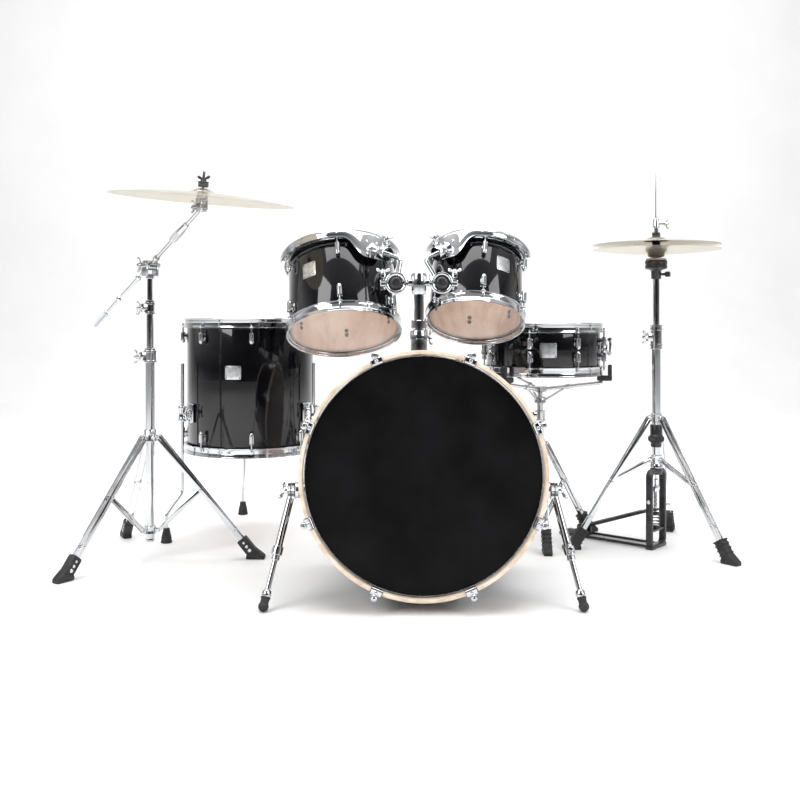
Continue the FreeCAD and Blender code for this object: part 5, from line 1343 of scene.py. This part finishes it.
# %% Floor tom legs, brackets and feet
FLOOR_AT = about(-541, 901)
leg_shapes, bracket_shapes, foot_shapes = [], [], []
for angle in (214.6, 104, 335):
    way = way_out(FLOOR_AT, angle)
    path = rounded_path([FLOOR_AT(angle, 235, 552), FLOOR_AT(angle, 235, 150),
                         FLOOR_AT(angle, 287, 88), FLOOR_AT(angle, 287, 12)], 0.024, 14)
    leg_shapes.append(tube(path, 0.00525, 22))
    for height in (498, 506, 514):
        leg_shapes.append(ring_band(FLOOR_AT(angle, 235, height), UP, 0.0050, 0.00545, 0.0035, 0.0002))
    boss = [(0.0057, -0.024), (0.0118, -0.024), (0.0130, -0.022), (0.0130, -0.015), (0.0116, -0.012),
            (0.0116, 0.012), (0.0130, 0.015), (0.0130, 0.022), (0.0118, 0.024), (0.0057, 0.024)]
    at = FLOOR_AT(angle, 235, 396)
    bracket_shapes.append(turned(boss, at, UP, 36, closed=True))
    bracket_shapes += [rounded_box(FLOOR_AT(angle, 215.5, 396 + step), (0.025, 0.0245, 0.0042),
                                   turn_to(way, UP), 0.0014) for step in (-12, -4, 4, 12)]
    bracket_shapes.append(rounded_box(FLOOR_AT(angle, 217, 396), (0.022, 0.0190, 0.028),
                                      turn_to(way, UP), 0.003))
    bracket_shapes.append(rounded_box(FLOOR_AT(angle, 208.5, 396), (0.0085, 0.043, 0.061),
                                      turn_to(way, UP), 0.004, 4))
    bracket_shapes += [rivet(FLOOR_AT(angle, 213, 396 + step), way, 0.0014, 0.0034)
                       for step in (-24, 24)]
    bolt = np.cross(UP, way)
    bracket_shapes += [plug(at + bolt * 0.010, at + bolt * 0.026, 0.0042, 18),
                       *wing(at + bolt * 0.028, bolt, UP, 0.038, 0.0085)]
    foot_shapes.append(turned([(0, 0), (0.0145, 0), (0.0172, 0.0015), (0.0175, 0.0040),
                               (0.0160, 0.0075), (0.0152, 0.0185), (0.0124, 0.0300), (0.0104, 0.0400),
                               (0.0100, 0.0440), (0.0090, 0.0452), (0.0056, 0.0452),
                               (0.0056, 0.0300), (0, 0.0300)], FLOOR_AT(angle, 287, 0), UP, 32))
piece("floor_tom_leg_rods", leg_shapes, chrome, "base", "floor_tom_legs")
piece("floor_tom_leg_clamps", bracket_shapes, chrome, "floor_tom", "floor_tom_leg_brackets")
piece("rubber_boots", foot_shapes + snare_boots + hat_boots, rubber, "base", "rubber_feet")
print("floor tom legs and rubber boots made")

# %% [markdown]
# ## Snare fittings
# The snare rests in a basket of three arms with rubber tips. The strainer on its side holds the
# wires under the lower head, and a lever drops them.

# %% Basket, strainer and lever
SNARE_AT, SNARE_LOW = about(394, 797), 531
basket = [plug(snare_at(0, 0, 281), snare_at(0, 0, 446), 0.0095, 30),
          turned([(0.0095, 0), (0.0165, 0.0010), (0.0190, 0.0040), (0.0190, 0.0190),
                  (0.0165, 0.0228), (0, 0.0228)], snare_at(0, 0, 425), UP, 36),
          plug(snare_at(0, 0, 446), snare_at(0, 0, 464), 0.0080, 26),
          turned([(0, 0), (0.0195, 0), (0.0228, 0.0025), (0.0228, 0.0150), (0.0200, 0.0178),
                  (0, 0.0178)], snare_at(0, 0, 462), UP, 36)]
basket += [ring_band(snare_at(0, 0, 429 + 3 * k), UP, 0.0185, 0.0194, 0.0014, 0.0004)
           for k in range(6)]
tips = []
for angle in (-12, 108, 228):
    inner, rim = snare_at(angle, 14, 471), SNARE_AT(angle, 183.8, SNARE_LOW - 38)
    way = way_out(SNARE_AT, angle)
    basket += [plug(inner, rim, 0.0055, 24), ring_band(inner + (rim - inner) * 0.4, rim - inner,
                                                       0.0050, 0.0080, 0.012),
               plug(snare_at(angle, 15, 436), inner + (rim - inner) * 0.4, 0.0035, 18)]
    basket.append(rounded_box(snare_at(angle, 20, 471), (0.014, 0.009, 0.012), turn_to(way, UP), 0.002))
    turn = turn_to(way, UP)
    tips.append(rounded_box(SNARE_AT(angle, 189.8, SNARE_LOW - 24), (0.046, 0.018, 0.0168), turn,
                            0.0045, 4))
    tips.append(rounded_box(SNARE_AT(angle, 206.2, SNARE_LOW - 5), (0.0128, 0.018, 0.046), turn,
                            0.0045, 4))
    tips += [rounded_box(SNARE_AT(angle, 178 + step, SNARE_LOW - 31.5), (0.003, 0.0186, 0.003), turn,
                         0.001) for step in (0, 7, 14)]
piece("basket_metal", basket, chrome, "snare", "snare_basket")
piece("basket_tips", tips, rubber, "snare")

STRAINER = -9
way = unit(SNARE_AT(STRAINER, 1, 0) - SNARE_AT(STRAINER, 0, 0))
turn, side = turn_to(way, UP), np.cross(UP, way)


def by_snare(distance, height, along=0.0):
    """A point on the strainer's line: from the snare's axis, up, and along its side."""
    return SNARE_AT(STRAINER, distance, SNARE_LOW + height) + side * along / 1000


strainer = [rounded_box(by_snare(182.2, 70), (0.0072, 0.030, 0.062), turn, 0.0028),
            rounded_box(by_snare(191.8, 66), (0.0140, 0.0212, 0.0400), turn, 0.0035, 4),
            rounded_box(by_snare(196.0, 58), (0.0080, 0.0130, 0.0200), turn, 0.0020),
            plug(by_snare(191.8, 85), by_snare(191.8, 90), 0.0040, 18),
            toothed_disc(by_snare(191.8, 94), UP, 0.0066, 0.0080, 20),
            rounded_box(by_snare(191.5, 40), (0.010, 0.026, 0.0050), turn, 0.0015)]
strainer += [rivet(by_snare(186.2, height), way, 0.0012, 0.0027) for height in (43, 97)]
opposite = [rounded_box(by_snare(-185.2, 66), (0.0135, 0.0255, 0.0435), turn, 0.0035, 4),
            rounded_box(by_snare(-187.0, 52), (0.0150, 0.0275, 0.0060), turn, 0.0015)]
opposite += [rivet(by_snare(-191.5, 58, along), way, 0.0016, 0.0030) for along in (-7, 7)]
piece("strainer_metal", strainer + opposite, chrome, "snare", "snare_strainer")
pin = by_snare(205.4, 52)
t = np.linspace(0, 1, 14)
arm_line = np.stack([0.0050 * np.sin(t * np.pi * 0.9) ** 2 * 0.3 + 0.0005, 0.004 + 0.040 * t], -1)
lever = [set_down(strip(arm_line, 0.0136, 0.0075, 0.0015), pin, turn),
         plug(pin - side * 0.0088, pin + side * 0.0088, 0.0060, 26),
         rivet(pin, side, 0.0090, 0.0030),
         plug(pin + [0, 0, 0.044] - side * 0.0078, pin + [0, 0, 0.044] + side * 0.0078, 0.0068, 26,
              0.0016)]
piece("strainer_throw_off", lever, chrome, "strainer_lever", "strainer_lever")
print("snare fittings made")

# %% [markdown]
# ## Boom cymbal stand
# One leg bracket sits at the tube's foot and a hub slides above it. Each leg hangs on the hub
# and its brace on the bracket, and every bar rides on its own body, so the tripod folds.

# %% Tube, hub, legs and braces
HUB, BRACKET, FOOT_OUT, PIVOT, KNEE = 350, 81, 328, 26, 0.45
LEG_ANGLES = (238, 358, 118)


def ears(height, reach):
    """Three short ears that carry the pivots of the legs or braces."""
    return [rounded_box(boom_at(angle, reach, height), (0.018, 0.0056, 0.014),
                        turn_to(boom_at(angle, 1, 0) - boom_at(angle, 0, 0), UP), 0.002)
            for angle in LEG_ANGLES]


stand = [plug(boom_at(0, 0, 52), boom_at(0, 0, 594), 0.0127, 40),
         turned([(0, 0), (0.0110, 0), (0.0131, 0.002), (0.0131, 0.009), (0.0127, 0.010)],
                boom_at(0, 0, 47), UP, 32),
         turned([(0.0127, -0.012), (0.0165, -0.012), (0.0178, -0.0105), (0.0178, -0.006),
                 (0.0166, -0.004), (0.0166, 0.004), (0.0178, 0.006), (0.0178, 0.0105),
                 (0.0165, 0.012), (0.0127, 0.012)], boom_at(0, 0, BRACKET), UP, 40, closed=True),
         *ears(BRACKET, 20.5), *tube_clamp(boom_at, 215, 0.566, 0.601, 0.0100, 0.0178, 0.023, 0.038),
         ring_band(boom_at(0, 0, 604), UP, 0.0100, 0.0150, 0.006, 0.0012)]
piece("boom_stand_pole", stand, chrome, "base", "boom_stand_tube")
way = unit(boom_at(300, 1, 0) - boom_at(300, 0, 0))
hub = [turned([(0.0131, -0.014), (0.0175, -0.014), (0.0190, -0.012), (0.0190, 0.004), (0.0170, 0.007),
               (0.0170, 0.020), (0.0158, 0.022), (0.0131, 0.022)], boom_at(0, 0, HUB), UP, 44,
              closed=True),
       *ears(HUB, 21.5), rounded_box(boom_at(300, 18, HUB + 12), (0.010, 0.014, 0.014),
                                     turn_to(way, UP), 0.002),
       plug(boom_at(300, 20, HUB + 12), boom_at(300, 33, HUB + 12), 0.0040, 18),
       *wing(boom_at(300, 36, HUB + 12), way, UP, 0.036, 0.0085)]
piece("boom_stand_hub_cast", hub, chrome, "stand_hub", "boom_stand_hub")
for number, angle in enumerate(LEG_ANGLES, 1):
    top, low = boom_at(angle, PIVOT, HUB), boom_at(angle, FOOT_OUT - 26, 14)
    knee, start = top + (low - top) * KNEE, boom_at(angle, PIVOT, BRACKET)
    side = unit(np.cross(low - top, UP))
    leg = bar_pair(top, low - (low - top) * 0.02, 0.0150, 0.0030, BAR_GAP, side)
    for way in (-1, 1):
        for spot in (top, knee):
            leg.append(rivet(spot + side * way * 0.0095, side * way, 0.0024, 0.0034))
    far = top + (low - top) * 0.80
    leg += [rivet(far, side, 0.0108, 0.0028), plug(far - side * 0.0075, far + side * 0.0075, 0.0060, 22)]
    body = f"stand_leg_{number}"
    piece(body + "_bars", leg, chrome, body, f"boom_stand_leg_{number}")
    shoe, windows = boot(boom_at(angle, FOOT_OUT - 26, 0), boom_at(angle, 1, 0) - boom_at(angle, 0, 0),
                         top - low, False)
    piece(body + "_boot", shoe, rubber, body)
    piece(body + "_boot_windows", windows, chrome, body)
    brace = bar_pair(start, knee, 0.0120, 0.0026, 0.0049, side)
    brace += [plug(knee - side * 0.0062, knee + side * 0.0062, 0.0035, 18),
              plug(start - side * 0.0082, start - side * 0.0036, 0.0036, 18),
              plug(start + side * 0.0036, start + side * 0.0082, 0.0036, 18)]
    piece(f"stand_brace_{number}_bars", brace, chrome, f"stand_brace_{number}",
          f"boom_stand_brace_{number}")
print("folding tripod made")

# %% Upper tubes, fork and boom
BOOM_SIDE = unit(np.cross(BOOM_RUN, UP))
flat_run = unit(BOOM_RUN * [1, 1, 0])
fork_turn = np.stack([flat_run, np.cross(UP, flat_run), np.array(UP, float)], axis=1)


def knurled(start, end, radius, waves=40, depth=0.0005):
    """A grip: radius = mean + depth cos(waves a) along a bar, with smooth ends."""
    a = np.linspace(0, 2 * np.pi, waves * 4, endpoint=False)
    x, y = across(end - start)
    ring = np.cos(a)[:, None] * x + np.sin(a)[:, None] * y
    wavy = (radius - depth + depth * np.cos(waves * a))[:, None]
    smooth = np.full_like(wavy, radius * 0.86)
    shares = [(0, 0 * wavy), (0, smooth), (0.04, wavy), (0.96, wavy), (1, smooth), (1, 0 * wavy)]
    points = np.concatenate([start + (end - start) * share + rim * ring for share, rim in shares])
    return points, quads(len(shares), len(a), False, True)


upper = [plug(boom_at(0, 0, 442), boom_at(0, 0, 712), 0.0097, 32),
         *tube_clamp(boom_at, 215, 0.706, 0.740, 0.0083, 0.0145, 0.019, 0.031),
         ring_band(boom_at(0, 0, 743), UP, 0.0080, 0.0125, 0.006, 0.0012),
         plug(boom_at(0, 0, 730), boom_at(0, 0, 822), 0.0080, 30),
         turned([(0, 0), (0.0105, 0), (0.0125, 0.0025), (0.0125, 0.0100), (0, 0.0100)],
                boom_at(0, 0, 808), UP, 32)]
upper.append(rounded_box(TILTER_AT - [0, 0, 0.029], (0.026, 0.043, 0.008), fork_turn, 0.0025))
for way in (-1, 1):
    cheek = TILTER_AT + BOOM_SIDE * way * 0.019
    upper.append(rounded_box(cheek - [0, 0, 0.0145], (0.026, 0.0050, 0.029), fork_turn, 0.0018))
    upper.append(toothed_disc(cheek, BOOM_SIDE * way, 0.0135, 0.0050, 30))
    upper.append(plug(cheek, cheek + BOOM_SIDE * way * 0.010, 0.0068, 26))
upper += [plug(TILTER_AT + BOOM_SIDE * 0.026, TILTER_AT + BOOM_SIDE * 0.034, 0.0045, 20),
          *wing(TILTER_AT + BOOM_SIDE * 0.037, BOOM_SIDE, UP, 0.044, 0.0095),
          plug(TILTER_AT - BOOM_SIDE * 0.029, TILTER_AT - BOOM_SIDE * 0.033, 0.0075, 6)]
piece("boom_stand_top", upper, chrome, "stand_upper", "boom_upper_tubes")


def on_boom(millimetres):
    """A point of the boom's line, from the fork's pivot towards the cymbal."""
    return TILTER_AT + BOOM_RUN * millimetres / 1000


boom = [plug(on_boom(-292), on_boom(262), 0.0052, 26), knurled(on_boom(-311), on_boom(-245), 0.0090),
        ring_band(on_boom(-244), BOOM_RUN, 0.0050, 0.0078, 0.004, 0.0008),
        turned([(0.0052, 0), (0.0085, 0), (0.0105, 0.003), (0.0105, 0.052), (0.0092, 0.060),
                (0.0092, 0.075), (0.0075, 0.078), (0.0052, 0.078)], on_boom(118), BOOM_RUN, 34),
        knurled(on_boom(126), on_boom(158), 0.0109, 36, 0.0004),
        turned([(0, -0.0160), (0.0110, -0.0160), (0.0150, -0.0125), (0.0150, 0.0125), (0.0110, 0.0160),
                (0, 0.0160)], TILTER_AT, BOOM_SIDE, 40),
        turned([(0, -0.0090), (0.0090, -0.0090), (0.0110, -0.0065), (0.0110, 0.0065), (0.0090, 0.0090),
                (0, 0.0090)], CRASH_PIVOT, BOOM_SIDE, 34)]
boom_up = unit(np.cross(BOOM_RUN, BOOM_SIDE))
for start in (28, -66, -176):
    middle = on_boom(start + 6)
    boom += [ring_band(middle, BOOM_RUN, 0.0050, 0.0094, 0.012, 0.0014),
             plug(middle - boom_up * 0.008, middle - boom_up * 0.0125, 0.0030, 16)]
piece("boom_bar", boom, chrome, "boom", "boom_arm")
print("boom made")

# %% Tilter, felts and wing nut
def on_crash(millimetres):
    """A point of the cymbal's own axis, from its seat."""
    return CRASH_SEAT + CRASH_AXIS * millimetres / 1000


tilter = [rounded_box(CRASH_PIVOT + [0, 0, 0.023], (0.020, 0.0290, 0.0098), fork_turn, 0.0025)]
for way in (-1, 1):
    cheek = CRASH_PIVOT + BOOM_SIDE * way * 0.0122
    tilter.append(rounded_box(cheek + [0, 0, 0.0125], (0.020, 0.0048, 0.025), fork_turn, 0.0015))
    tilter.append(toothed_disc(cheek, BOOM_SIDE * way, 0.0105, 0.0048, 26))
tilter += [plug(CRASH_PIVOT + BOOM_SIDE * 0.013, CRASH_PIVOT + BOOM_SIDE * 0.026, 0.0040, 18),
           *wing(CRASH_PIVOT + BOOM_SIDE * 0.029, BOOM_SIDE, UP, 0.036, 0.0085),
           plug(on_crash(-2), on_crash(76), 0.0040, 20),
           turned([(0, 0), (0.0125, 0), (0.0158, 0.0025), (0.0158, 0.0090), (0.0140, 0.0112),
                   (0, 0.0112)], on_crash(-1), CRASH_AXIS, 36)]
tilter += [ring_band(on_crash(58 + 1.6 * k), CRASH_AXIS, 0.0037, 0.0042, 0.0008, 0.0002)
           for k in range(11)]
piece("tilter_metal", tilter, chrome, "tilter", "cymbal_tilter")


def felt(low, high, radius=0.0150, ease=0.0028):
    """A felt washer with soft, rounded edges and a slight waist."""
    long = (high - low) / 1000
    profile = [(0.0046, 0.0004), (radius - ease, 0), (radius - 0.0006, ease * 0.5), (radius, ease),
               (radius - 0.0005, long / 2), (radius, long - ease), (radius - 0.0006, long - ease * 0.5),
               (radius - ease, long), (0.0046, long - 0.0004)]
    return turned(profile, on_crash(low), CRASH_AXIS, 36, closed=True)


piece("crash_lower_felt", [felt(10.3, 26)], dark_felt, "tilter")
piece("crash_upper_felt", [felt(31.5, 44)], dark_felt, "tilter")
topper = [ring_band(on_crash(45.6), CRASH_AXIS, 0.0044, 0.0160, 0.0026, 0.0008),
          turned([(0.0044, 0), (0.0085, 0), (0.0085, 0.003), (0.0062, 0.0070), (0.0058, 0.0110),
                  (0.0044, 0.0115)], on_crash(47), CRASH_AXIS, 28, closed=True),
          *wing(on_crash(56), CRASH_AXIS, (1, 0, 0), 0.034, 0.0085)[1:]]
piece("crash_wing_nut", topper, black_steel, "tilter")
print("cymbal tilter made")

# %% [markdown]
# ## Hi-hat
# The pedal pulls a rod down through the stand and closes the upper cymbal on the lower one. A
# black loop frame stands under the tripod's hub. In it are a chain, a spring and a shelf.

# %% Stand, frame and heel plate
FRAME_TURN, TOE = 230, -2
frame_x = np.array([np.cos(np.radians(FRAME_TURN)), np.sin(np.radians(FRAME_TURN)), 0.0])
frame_y = np.array([-frame_x[1], frame_x[0], 0.0])
frame_turn = np.stack([frame_x, frame_y, np.array(UP, float)], axis=1)


def on_frame(across_pedal, along_pedal, height):
    """A point of the hi-hat's frame, in CAD sizes."""
    return hat_at(0, 0, height) + (frame_x * across_pedal + frame_y * along_pedal) / 1000


def swept(path, thick, wide, way):
    """A rounded rectangle carried along a flat path; way is the direction of its width."""
    run, way = unit(np.gradient(path, axis=0)), unit(way)
    a = np.linspace(0, 2 * np.pi, 20, endpoint=False)
    section = np.stack([thick / 2 * np.sign(np.cos(a)) * np.abs(np.cos(a)) ** 0.45,
                        wide / 2 * np.sign(np.sin(a)) * np.abs(np.sin(a)) ** 0.45], -1)
    return carried(path, section, np.cross(run, way), np.broadcast_to(way, path.shape))


loop = rounded_path([on_frame(0, 0, 6.5), on_frame(44.5, 0, 6.5), on_frame(44.5, 0, 233),
                     on_frame(-44.5, 0, 233), on_frame(-44.5, 0, 6.5), on_frame(0.5, 0, 6.5)], 0.019, 12)
frame_parts = [swept(loop, 0.0118, 0.021, frame_y),
               rounded_box(on_frame(0, 0, 6.2), (0.098, 0.0235, 0.0118), frame_turn, 0.0035, 4),
               turned([(0.0088, 0), (0.0175, 0), (0.0185, 0.003), (0.0185, 0.017), (0.0088, 0.019)],
                      on_frame(0, 0, 222), UP, 40, closed=True),
               rounded_box(on_frame(0, 0, 55), (0.079, 0.0155, 0.0078), frame_turn, 0.0015),
               turned([(0, 0), (0.0128, 0), (0.0128, 0.0015), (0.0085, 0.0015), (0.0085, 0.004),
                       (0, 0.004)], on_frame(0, 0, 58.5), UP, 30)]
heel_pin, toe = on_frame(0, -246, 34), on_frame(0, TOE - 24, 112)
frame_parts += [rounded_box(on_frame(0, -277, 6), (0.0655, 0.0855, 0.0118), frame_turn, 0.004, 4)]
for way in (-1, 1):
    frame_parts += [plug(on_frame(way * 29, -243, 6), on_frame(way * 29, -12, 6), 0.0042, 22),
                    rounded_box(on_frame(way * 26, -246, 21), (0.0088, 0.0195, 0.024), frame_turn,
                                0.0015),
                    plug(on_frame(way * 21.7, -246, 34), on_frame(way * 30.3, -246, 34), 0.0098, 28)]
frame_parts += [rounded_box(on_frame(0, -277 + step, 12.2), (0.052, 0.0026, 0.0022), frame_turn, 0.0008)
                for step in range(-32, 22, 8)]
piece("hihat_loop_frame", frame_parts, black_steel, "base", "hihat_frame")
shine = []
for way in (-1, 1):
    start = on_frame(way * 50, 0, 143)
    shine += [plug(start, start + frame_x * way * 0.0030, 0.0062, 26),
              plug(start + frame_x * way * 0.0030, start + frame_x * way * 0.0060, 0.0042, 6)]
shine.append(plug(heel_pin - frame_x * 0.0310, heel_pin + frame_x * 0.0310, 0.0029, 20))
piece("hihat_frame_bolts", shine, chrome, "base")

hat_stand = hat_metal_parts + [
    turned([(0.0090, 0), (0.0175, 0), (0.0190, 0.002), (0.0190, 0.010), (0.0172, 0.013),
            (0.0172, 0.030), (0.0190, 0.033), (0.0190, 0.038), (0.0170, 0.040), (0.0132, 0.040)],
           hat_at(0, 0, 240.5), UP, 44, closed=True),
    turned([(0.0100, 0), (0.0132, 0), (0.0132, 0.344), (0.0100, 0.344)], hat_at(0, 0, 256), UP, 40,
           closed=True),
    *tube_clamp(hat_at, 200, 0.600, 0.673, 0.0102, 0.0180, 0.024, 0.038),
    *[ring_band(hat_at(0, 0, height), UP, 0.0102, 0.0185, 0.008, 0.0015) for height in (612, 661)]]
piece("hihat_stand_metal", hat_stand, chrome, "base", "hihat_stand")
dial = [turned([(0.0134, 0.304), (0.0150, 0.304), (0.0165, 0.308), (0.0165, 0.317), (0.0205, 0.320),
                (0.0205, 0.338), (0.0180, 0.341), (0.0180, 0.369), (0.0165, 0.372), (0.0134, 0.372)],
               hat_at(0, 0, 0), UP, 48, closed=True),
        toothed_disc(hat_at(0, 0, 329), UP, 0.0240, 0.014, 26)]
piece("hihat_tension_dial", dial, black_steel, "base")
print("hi-hat stand and frame made")

# %% Upper tube, seat, clutch, rod and footboard
piece("hihat_upper_pole", [turned([(0.0052, 0), (0.0090, 0), (0.0098, 0.001), (0.0098, 0.375),
                                   (0.0052, 0.375)], hat_at(0, 0, 440), UP, 36, closed=True)],
      chrome, "hihat_upper", "hihat_upper_tube")
seat = [turned([(0.0102, 0), (0.0135, 0), (0.0150, 0.003), (0.0150, 0.024), (0.0180, 0.027),
                (0.0300, 0.030), (0.0330, 0.033), (0.0330, 0.040), (0.0318, 0.041), (0.0318, 0.044),
                (0.0330, 0.045), (0.0330, 0.053), (0.0315, 0.056), (0.0052, 0.056), (0.0052, 0.006)],
               hat_at(0, 0, 812), UP, 56, closed=True),
        plug(hat_at(330, 14, 826), hat_at(330, 28, 826), 0.0040, 18),
        knurled(hat_at(330, 28, 826), hat_at(330, 42, 826), 0.0080, 24)]
piece("hihat_seat_cup", seat, black_steel, "hihat_upper", "hihat_seat")
piece("hihat_seat_felt", [turned([(0.0052, 0), (0.0290, 0), (0.0302, 0.0014), (0.0300, 0.0050),
                                  (0.0286, 0.0064), (0.0052, 0.0064)], hat_at(0, 0, 867.8), UP, 48,
                                 closed=True)], grey_felt, "hihat_upper")
CUP_TOP = 874.5 + 2 * 13 + 15 + 13


def ring_stack(profile, height):
    """A hollow turned part round the pull rod, from a CAD height."""
    return turned([(0.0034, profile[0][1]), *profile, (0.0034, profile[-1][1])],
                  hat_at(0, 0, height), UP, 36, closed=True)


clutch = [ring_stack([(0.0064, 0), (0.0064, 0.064)], CUP_TOP - 16),
          ring_stack([(0.0085, 0), (0.0100, 0.002), (0.0100, 0.020), (0.0088, 0.023), (0.0088, 0.026),
                      (0.0075, 0.028)], CUP_TOP + 38),
          plug(hat_at(0, 8, CUP_TOP + 52), hat_at(0, 28, CUP_TOP + 52), 0.0040, 18),
          *wing(hat_at(0, 32, CUP_TOP + 52), (1, 0, 0), UP, 0.034, 0.0080)]
clutch += [ring_band(hat_at(0, 0, CUP_TOP + 26 + 1.6 * k), UP, 0.0062, 0.0067, 0.0008, 0.0002)
           for k in range(7)]
piece("clutch_metal", clutch, chrome, "hihat_top", "hihat_clutch")
piece("clutch_felts", [ring_stack([(0.0108, 0), (0.0120, 0.002), (0.0120, 0.009), (0.0108, 0.011)],
                                  CUP_TOP - 14),
                       ring_stack([(0.0125, 0), (0.0140, 0.003), (0.0136, 0.007), (0.0140, 0.010),
                                   (0.0125, 0.0133)], CUP_TOP + 0.5)], dark_felt, "hihat_top")
piece("clutch_nut", [ring_stack([(0.0112, 0), (0.0120, 0.001), (0.0120, 0.009), (0.0108, 0.010)],
                                CUP_TOP + 14)], black_steel, "hihat_top")
links = [plug(hat_at(0, 0, 196), hat_at(0, 0, 1134), 0.0030, 20),
         turned([(0, 0), (0.0062, 0), (0.0075, 0.002), (0.0075, 0.020), (0.0060, 0.022), (0, 0.022)],
                hat_at(0, 0, 186), UP, 26),
         rounded_box(hat_at(0, 0, 178), (0.036, 0.0118, 0.0178), frame_turn, 0.003)]
for height in (163, 151, 139, 127):
    middle = on_frame(0, TOE, height)
    half_link = np.array([0, 0, 0.0028])
    links.append(plug(middle - frame_x * 0.0045, middle + frame_x * 0.0045, 0.0040, 20))
    for spot in (middle - frame_x * 0.0052, middle + frame_x * 0.0052):
        links += flat_bar(spot - half_link, spot + half_link, 0.0072, 0.0014, frame_x, 0.0003)
piece("pull_rod_and_chain", links, chrome, "hihat_rod", "hihat_pull_rod")

board_run = unit(toe - heel_pin)
board_up = unit(np.cross(frame_x, board_run))
board_long = np.linalg.norm(toe - heel_pin)


def board_plate():
    """The footboard: a plate whose width follows a smooth curve along its length."""
    share, v = np.meshgrid(np.linspace(0, 1, 40), np.linspace(-1, 1, 15), indexing="ij")
    half = 0.0225 + 0.0095 * np.sin(np.clip(share * 1.15, 0, 1) * np.pi / 2)
    half = half * np.sqrt(np.clip(1 - 0.72 * np.clip((share - 0.90) / 0.10, 0, 1) ** 2.2, 0, 1))
    along = 0.012 + share * (board_long - 0.012)
    crown = 0.0006 * np.cos(v * np.pi / 2)
    top = (heel_pin + board_run * along[..., None] + frame_x * (half * v)[..., None]
           + board_up * (0.0020 + crown)[..., None])
    low = top - board_up * (0.0052 + crown)[..., None]
    return closed_sheet(top, low)


tread = [board_plate()]
board_turn = np.stack([board_run, np.cross(board_up, board_run), board_up], axis=1)
tread += [rounded_box(heel_pin + board_run * (0.045 + 0.013 * k) + board_up * 0.0028,
                      (0.0030, 0.042, 0.0022), board_turn, 0.0009) for k in range(13)]
tread += [rounded_box(heel_pin + board_run * (board_long + 0.012) / 2 - board_up * 0.0055,
                      (board_long - 0.030, 0.0080, 0.0060), board_turn, 0.002),
          rounded_box(on_frame(0, TOE - 10, 114), (0.0255, 0.033, 0.0078), frame_turn, 0.002),
          turned([(0.0034, -0.0198), (0.0062, -0.0198), (0.0070, -0.0188), (0.0070, 0.0188),
                  (0.0062, 0.0198), (0.0034, 0.0198)], heel_pin, frame_x, 28, closed=True),
          rounded_box(heel_pin + board_run * 0.0115, (0.0130, 0.037, 0.0055), board_turn, 0.0015)]
piece("footboard_tread", tread, black_steel, "pedal", "hihat_footboard")
spring_low, spring_high = (np.array(corner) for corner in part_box("hihat_spring"))
SPRING_WIRE, SPRING_TURNS, SPRING_FOOT, ROD_TRAVEL = 0.0016, 7.5, 0.059, 0.0121
share = np.linspace(0, 1, 260)
rise = share - 0.12 * np.sin(2 * np.pi * share)
coil_turn = 2 * np.pi * SPRING_TURNS * share
coil_radius = (spring_high[0] - spring_low[0]) / 2 - SPRING_WIRE
coil = np.stack([coil_radius * np.cos(coil_turn), coil_radius * np.sin(coil_turn),
                 (spring_high[2] - spring_low[2] - 2 * SPRING_WIRE) * rise], axis=1)
coil += [*((spring_low + spring_high) / 2)[:2], spring_low[2] + SPRING_WIRE]
spring = piece("pedal_spring", [tube(coil, SPRING_WIRE, 12)], black_steel, "base", "hihat_spring")
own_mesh(spring)
print("hi-hat made")
